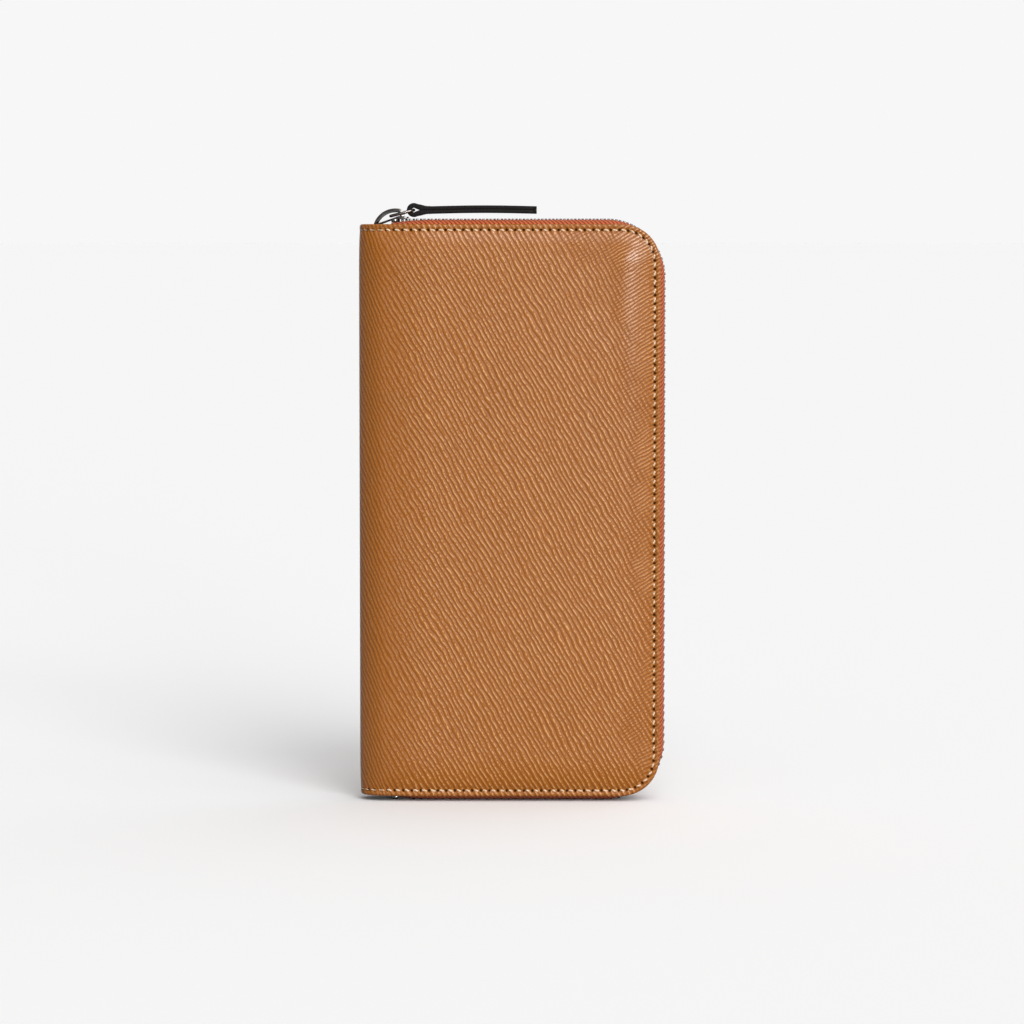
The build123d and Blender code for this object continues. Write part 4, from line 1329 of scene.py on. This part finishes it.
def foam_pad(name):
    x1 = EDGE_X - FOAM_INSET
    piece = upright(name, BOARD_X + 1.2, x1, LOW_Z + FOAM_INSET, HIGH_Z - FOAM_INSET, -FOAM_DEPTH)
    pick("VERT", lambda v, m: m.x > x1 - 1)
    bpy.ops.mesh.bevel(offset=9, segments=8, affect="VERTICES", profile=0.5)
    pick("FACE", lambda f, m: True)
    extrude(0, -0.24, 0)
    for width, lift in ((1.6, 0.3), (1.8, 0.28), (2.2, 0.3), (2.4, 0.24)):
        bpy.ops.mesh.inset(thickness=width, depth=lift)
    piece = finish_edit(piece)
    smooth(piece, 60)
    return piece


front_pad = foam_pad("front_pad")
back_pad = mirrored(front_pad, "back_pad")
foam, tree, shader = new_material("foam")
bubbles = add_node(tree, "ShaderNodeTexVoronoi", {"Vector": object_place(tree), "Scale": 2200.0})
bubbles = bubbles.outputs["Distance"]
set_inputs(tree, shader, {
    "Base Color": blend_colours(tree, bubbles, (0.8, 0.77, 0.7, 1), (0.6, 0.57, 0.5, 1)),
    "Normal": bumps(tree, bubbles, 0.0001, 0.6),
    "Roughness": 0.9,
})
finish_with(foam, front_pad, back_pad)
for pad, side in ((front_pad, "front"), (back_pad, "back")):
    settle(pad, side + "_cover", "foam", side + "_padding")
board, tree, shader = new_material("board")
fibre = noise(tree, object_place(tree, (900, 900, 220)), 1.0, 4.0)
set_inputs(tree, shader, {
    "Base Color": blend_colours(tree, fibre, (0.42, 0.34, 0.25, 1), (0.66, 0.58, 0.46, 1)),
    "Normal": bumps(tree, fibre, 0.00005, 0.4),
    "Roughness": 0.85,
})
for side in ("front", "back"):
    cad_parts[side + "_board"].data.materials.clear()
    finish_with(board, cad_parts[side + "_board"])
print("padding:", box_of(front_pad))

# %% [markdown]
# ## Card pockets
# Inside each cover a smooth leather panel carries four stepped pockets, and a seam down the middle makes
# two columns. A pocket is a thin panel with a creased line along its open edge, as a heated creasing iron
# leaves. Each starts as a cube; two cuts across it give the line, and the strip between them is sunk.

# %% Card pockets
def card_panel(name, node):
    x0, x1, y0, y1, z0, z1 = limits_of(node)
    piece = begin(name, bpy.ops.mesh.primitive_cube_add, place=((x0 + x1) / 2, (y0 + y1) / 2, (z0 + z1) / 2),
                  stretch=(x1 - x0, (y1 - y0) * 0.96, z1 - z0), size=1)
    crease = (x1 - 2.1, x1 - 1.7)
    for cut in crease:
        bpy.ops.mesh.select_all(action="SELECT")
        bpy.ops.mesh.bisect(plane_co=(cut, 0, 0), plane_no=(1, 0, 0))
    pick("FACE", lambda f, m: f.normal.y > 0.9 and crease[0] < m.x < crease[1])
    bpy.ops.transform.translate(value=(0, -0.12, 0))
    piece = finish_edit(piece, merge=0.001)
    round_edges(piece, 0.14, 60, segments=3)
    smooth(piece, 30)
    return piece


card_leather, tree, shader = new_material("card_leather")
upstanding = object_place(tree, (100, 100, 100), 90)
calf = use_group(tree, grain, {"Vector": upstanding, "Pitch": 0.06, "Angle": 0.9, "Cross": 0.5})
# The grain's crests are coloured lighter.
lighter_crests = maths(tree, "MULTIPLY", calf.outputs["Crest"], 0.3)
colour = blend_colours(tree, calf.outputs["Patch"], (0.36, 0.155, 0.05, 1), (0.46, 0.22, 0.085, 1))
set_inputs(tree, shader, {
    "Base Color": blend_colours(tree, lighter_crests, colour, (0.6, 0.33, 0.15, 1)),
    "Normal": bumps(tree, calf.outputs["Height"], 0.00003, 0.6),
    "Roughness": maths(tree, "MULTIPLY_ADD", calf.outputs["Patch"], 0.2, 0.42),
    "Specular IOR Level": 0.35,
})

panel_nodes = ["card_base", "card_tier_1", "card_tier_2", "card_tier_3", "card_tier_4"]
CARD_STITCH = 2.75
card_thread = stitch_model(2.2, 0.42, 0.36, -0.08)
middle = (LOW_Z + HIGH_Z) / 2
seam_places = []
for number, node in enumerate(panel_nodes):
    x0, x1, y0, y1, z0, z1 = limits_of("front_" + node)
    start = limits_of("front_" + panel_nodes[number + 1])[1] if number < 4 else x0
    count = int((x1 - start - 1.5) / CARD_STITCH)
    for n in range(count):
        seam_places.append(place(start + 1.6 + CARD_STITCH * n, y1 + 0.04, middle, (1, 0, 0), (0, 1, 0)))
    panel = card_panel("front_" + node + "_leather", "front_" + node)
    opposite = mirrored(panel, "back_" + node + "_leather")
    finish_with(card_leather, panel, opposite)
    for piece, side in ((panel, "front"), (opposite, "back")):
        settle(piece, side + "_cover", "card_leather", side + "_" + node)
front_card_seam = copies("front_card_seam_thread", card_thread, seam_places)
discard(card_thread)
back_card_seam = mirrored(front_card_seam, "back_card_seam_thread")
finish_with(pale_thread, front_card_seam, back_card_seam)
for seam_piece, side in ((front_card_seam, "front"), (back_card_seam, "back")):
    settle(seam_piece, side + "_cover", "pale_thread", side + "_card_seam")
print("card pockets:", 2 * len(panel_nodes), "panels,", len(seam_places), "stitches in each seam")

# %% [markdown]
# ## Gussets
# A folded triangle of cloth joins each cover to the coin pocket at the top and the bottom, and keeps the
# wallet from opening flat. The leaf starts as a plane with one corner drawn in to make a triangle, it is
# extruded to the second leaf, and every side but the crease is taken away. Its place is baked into its
# mesh, and it rides on no body. A blend across its depth spreads the leaves as the cover opens.

# %% Gussets
def gusset_sheet(name, node, top):
    x0, x1, y0, y1, z0, z1 = limits_of(node)
    inner, outer = 0.2 - y1, -y0 - 0.2
    edge, crease = (z1, z0) if top else (z0, z1)
    piece = upright(name, x0, x1, z0, z1, -inner)
    pick("VERT", lambda v, m: m.x < x0 + 0.1 and abs(m.z - crease) < 0.1)
    bpy.ops.transform.translate(value=(0, 0, (edge - crease) * 0.97))
    bpy.ops.mesh.select_all(action="SELECT")
    extrude(0, inner - outer, 0)
    pick("FACE", lambda f, m: abs(f.normal.x) > 0.9 or (abs(f.normal.z) > 0.5 and abs(m.z - edge) < 0.1))
    bpy.ops.mesh.delete(type="FACE")
    pick("EDGE", lambda e, m: abs(e.verts[0].co.y - e.verts[1].co.y) < 0.1 and len(e.link_faces) == 2)
    bpy.ops.mesh.bevel(offset=0.6, segments=3, affect="EDGES", profile=0.5)
    bpy.ops.mesh.select_all(action="SELECT")
    bpy.ops.mesh.subdivide(number_cuts=5)
    piece = finish_edit(piece, merge=0.005, facing=(0, 0, 0.0001))
    thicken(piece, 0.3, offset=0)
    smooth(piece, 50)
    return piece


for top, word in ((True, "top"), (False, "bottom")):
    front_gusset = gusset_sheet("front_" + word + "_gusset_cloth", "front_" + word + "_gusset", top)
    back_gusset = mirrored(front_gusset, "back_" + word + "_gusset_cloth")
    finish_with(lining_cloth, front_gusset, back_gusset)
    for gusset, side in ((front_gusset, "front"), (back_gusset, "back")):
        low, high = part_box(side + "_" + word + "_gusset")
        if side == "front":
            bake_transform(gusset)
        else:
            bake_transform(gusset)
        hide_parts(side + "_" + word + "_gusset")
print("gusset:", box_of(front_gusset))

# %% [markdown]
# ## Coin pocket
# The coin pocket stands in the middle, held by the spine, with a small zip of its own along its mouth.
# Its walls are cloth with a turned edge, and its zip is a smaller copy of the outer one: two tapes, two
# rows of teeth, and a slider with a flat tab.

# %% Coin pocket
def pocket_wall(name, node, thick, turned):
    """A cloth panel in its CAD place, with a turned hem round its edge."""
    x0, x1, y0, y1, z0, z1 = limits_of(node)
    piece = upright(name, x0, x1, z0, z1, y0)
    bpy.ops.mesh.select_all(action="SELECT")
    bpy.ops.mesh.inset(thickness=turned)
    bpy.ops.mesh.inset(thickness=turned * 0.3, depth=-thick * 0.15)
    bpy.ops.mesh.inset(thickness=turned * 0.3, depth=thick * 0.1)
    piece = finish_edit(piece, facing=(0, -1, 0))
    thicken(piece, thick)
    round_edges(piece, 0.1, 50)
    smooth(piece, 35)
    return piece


front_wall = pocket_wall("front_coin_wall", "front_coin_pocket_wall", 0.7, 1.6)
front_coin_tape = pocket_wall("front_coin_tape", "front_coin_zip_tape", 0.34, 0.3)
weave = front_coin_tape.data.uv_layers.new(name="ribbon")
for corner, loop in zip(weave.data, front_coin_tape.data.loops):
    spot = front_coin_tape.data.vertices[loop.vertex_index].co / MM
    corner.uv = (spot.z, spot.x)
coin_pieces = (
    (front_wall, "coin_wall", "coin_pocket_wall", lining_cloth, "lining_cloth"),
    (front_coin_tape, "coin_tape", "coin_zip_tape", tape_cloth, "zip_tape"),
)
for piece, word, node, finish, slot in coin_pieces:
    opposite = mirrored(piece, "back_" + word)
    finish_with(finish, piece, opposite)
    low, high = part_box("front_" + node)
    for half, side in ((piece, "front"), (opposite, "back")):
        settle(half, "spine", slot, side + "_" + node)
        if word == "coin_wall":
            cut = (high.x - low.x, high.z - low.z)


def coin_tooth_model():
    """A small tooth, drawn with its height along Z and its head towards plus Y."""
    piece = begin(
        "coin_tooth", bpy.ops.mesh.primitive_cube_add, place=(0, -1.5, 0.8), stretch=(0.75, 0.8, 1.6), size=1,
    )
    pick("FACE", lambda f, m: f.normal.y > 0.9)
    extrude(0, 0.3, 0)
    bpy.ops.transform.resize(value=(0.75, 1, 0.8))
    extrude(0, 1.4, 0)
    bpy.ops.transform.resize(value=(0.8, 1, 0.75))
    piece = finish_edit(piece, merge=0.001)
    round_edges(piece, 0.09, 35, segments=1)
    smooth(piece, 50)
    return piece


COIN_PITCH = 2.0
coin_tooth = coin_tooth_model()
for side, way in (("front", -1), ("back", 1)):
    x0, x1, y0, y1, z0, z1 = limits_of(side + "_coin_zip_teeth")
    count = int((z1 - z0) / COIN_PITCH + 0.5)
    heights = [z0 + 0.375 + COIN_PITCH * n for n in range(count)]
    row = copies(side + "_coin_teeth", coin_tooth, [place(x0, 0, z, (0, 0, way), (1, 0, 0)) for z in heights])
    finish_with(nickel, row)
    settle(row, "spine", "nickel", side + "_coin_zip_teeth")
    print(side, "coin teeth:", count, box_of(row), "CAD y", round(y0, 2), round(y1, 2))
discard(coin_tooth)
cast_pieces = (
    ("coin_zip_stops", "coin_stops", "spine", 0.15), ("coin_slider", "coin_zip_slider", "coin_slider", 0.12),
    ("coin_pull", "coin_tab", "coin_pull", 0.12), ("front_zip_stops", "front_stops", "front_cover", 0.2),
    ("back_zip_stops", "back_stops", "back_cover", 0.2),
)
for node, name, body, rounding in cast_pieces:
    finish_with(nickel, cast_copy(node, name, body, rounding))
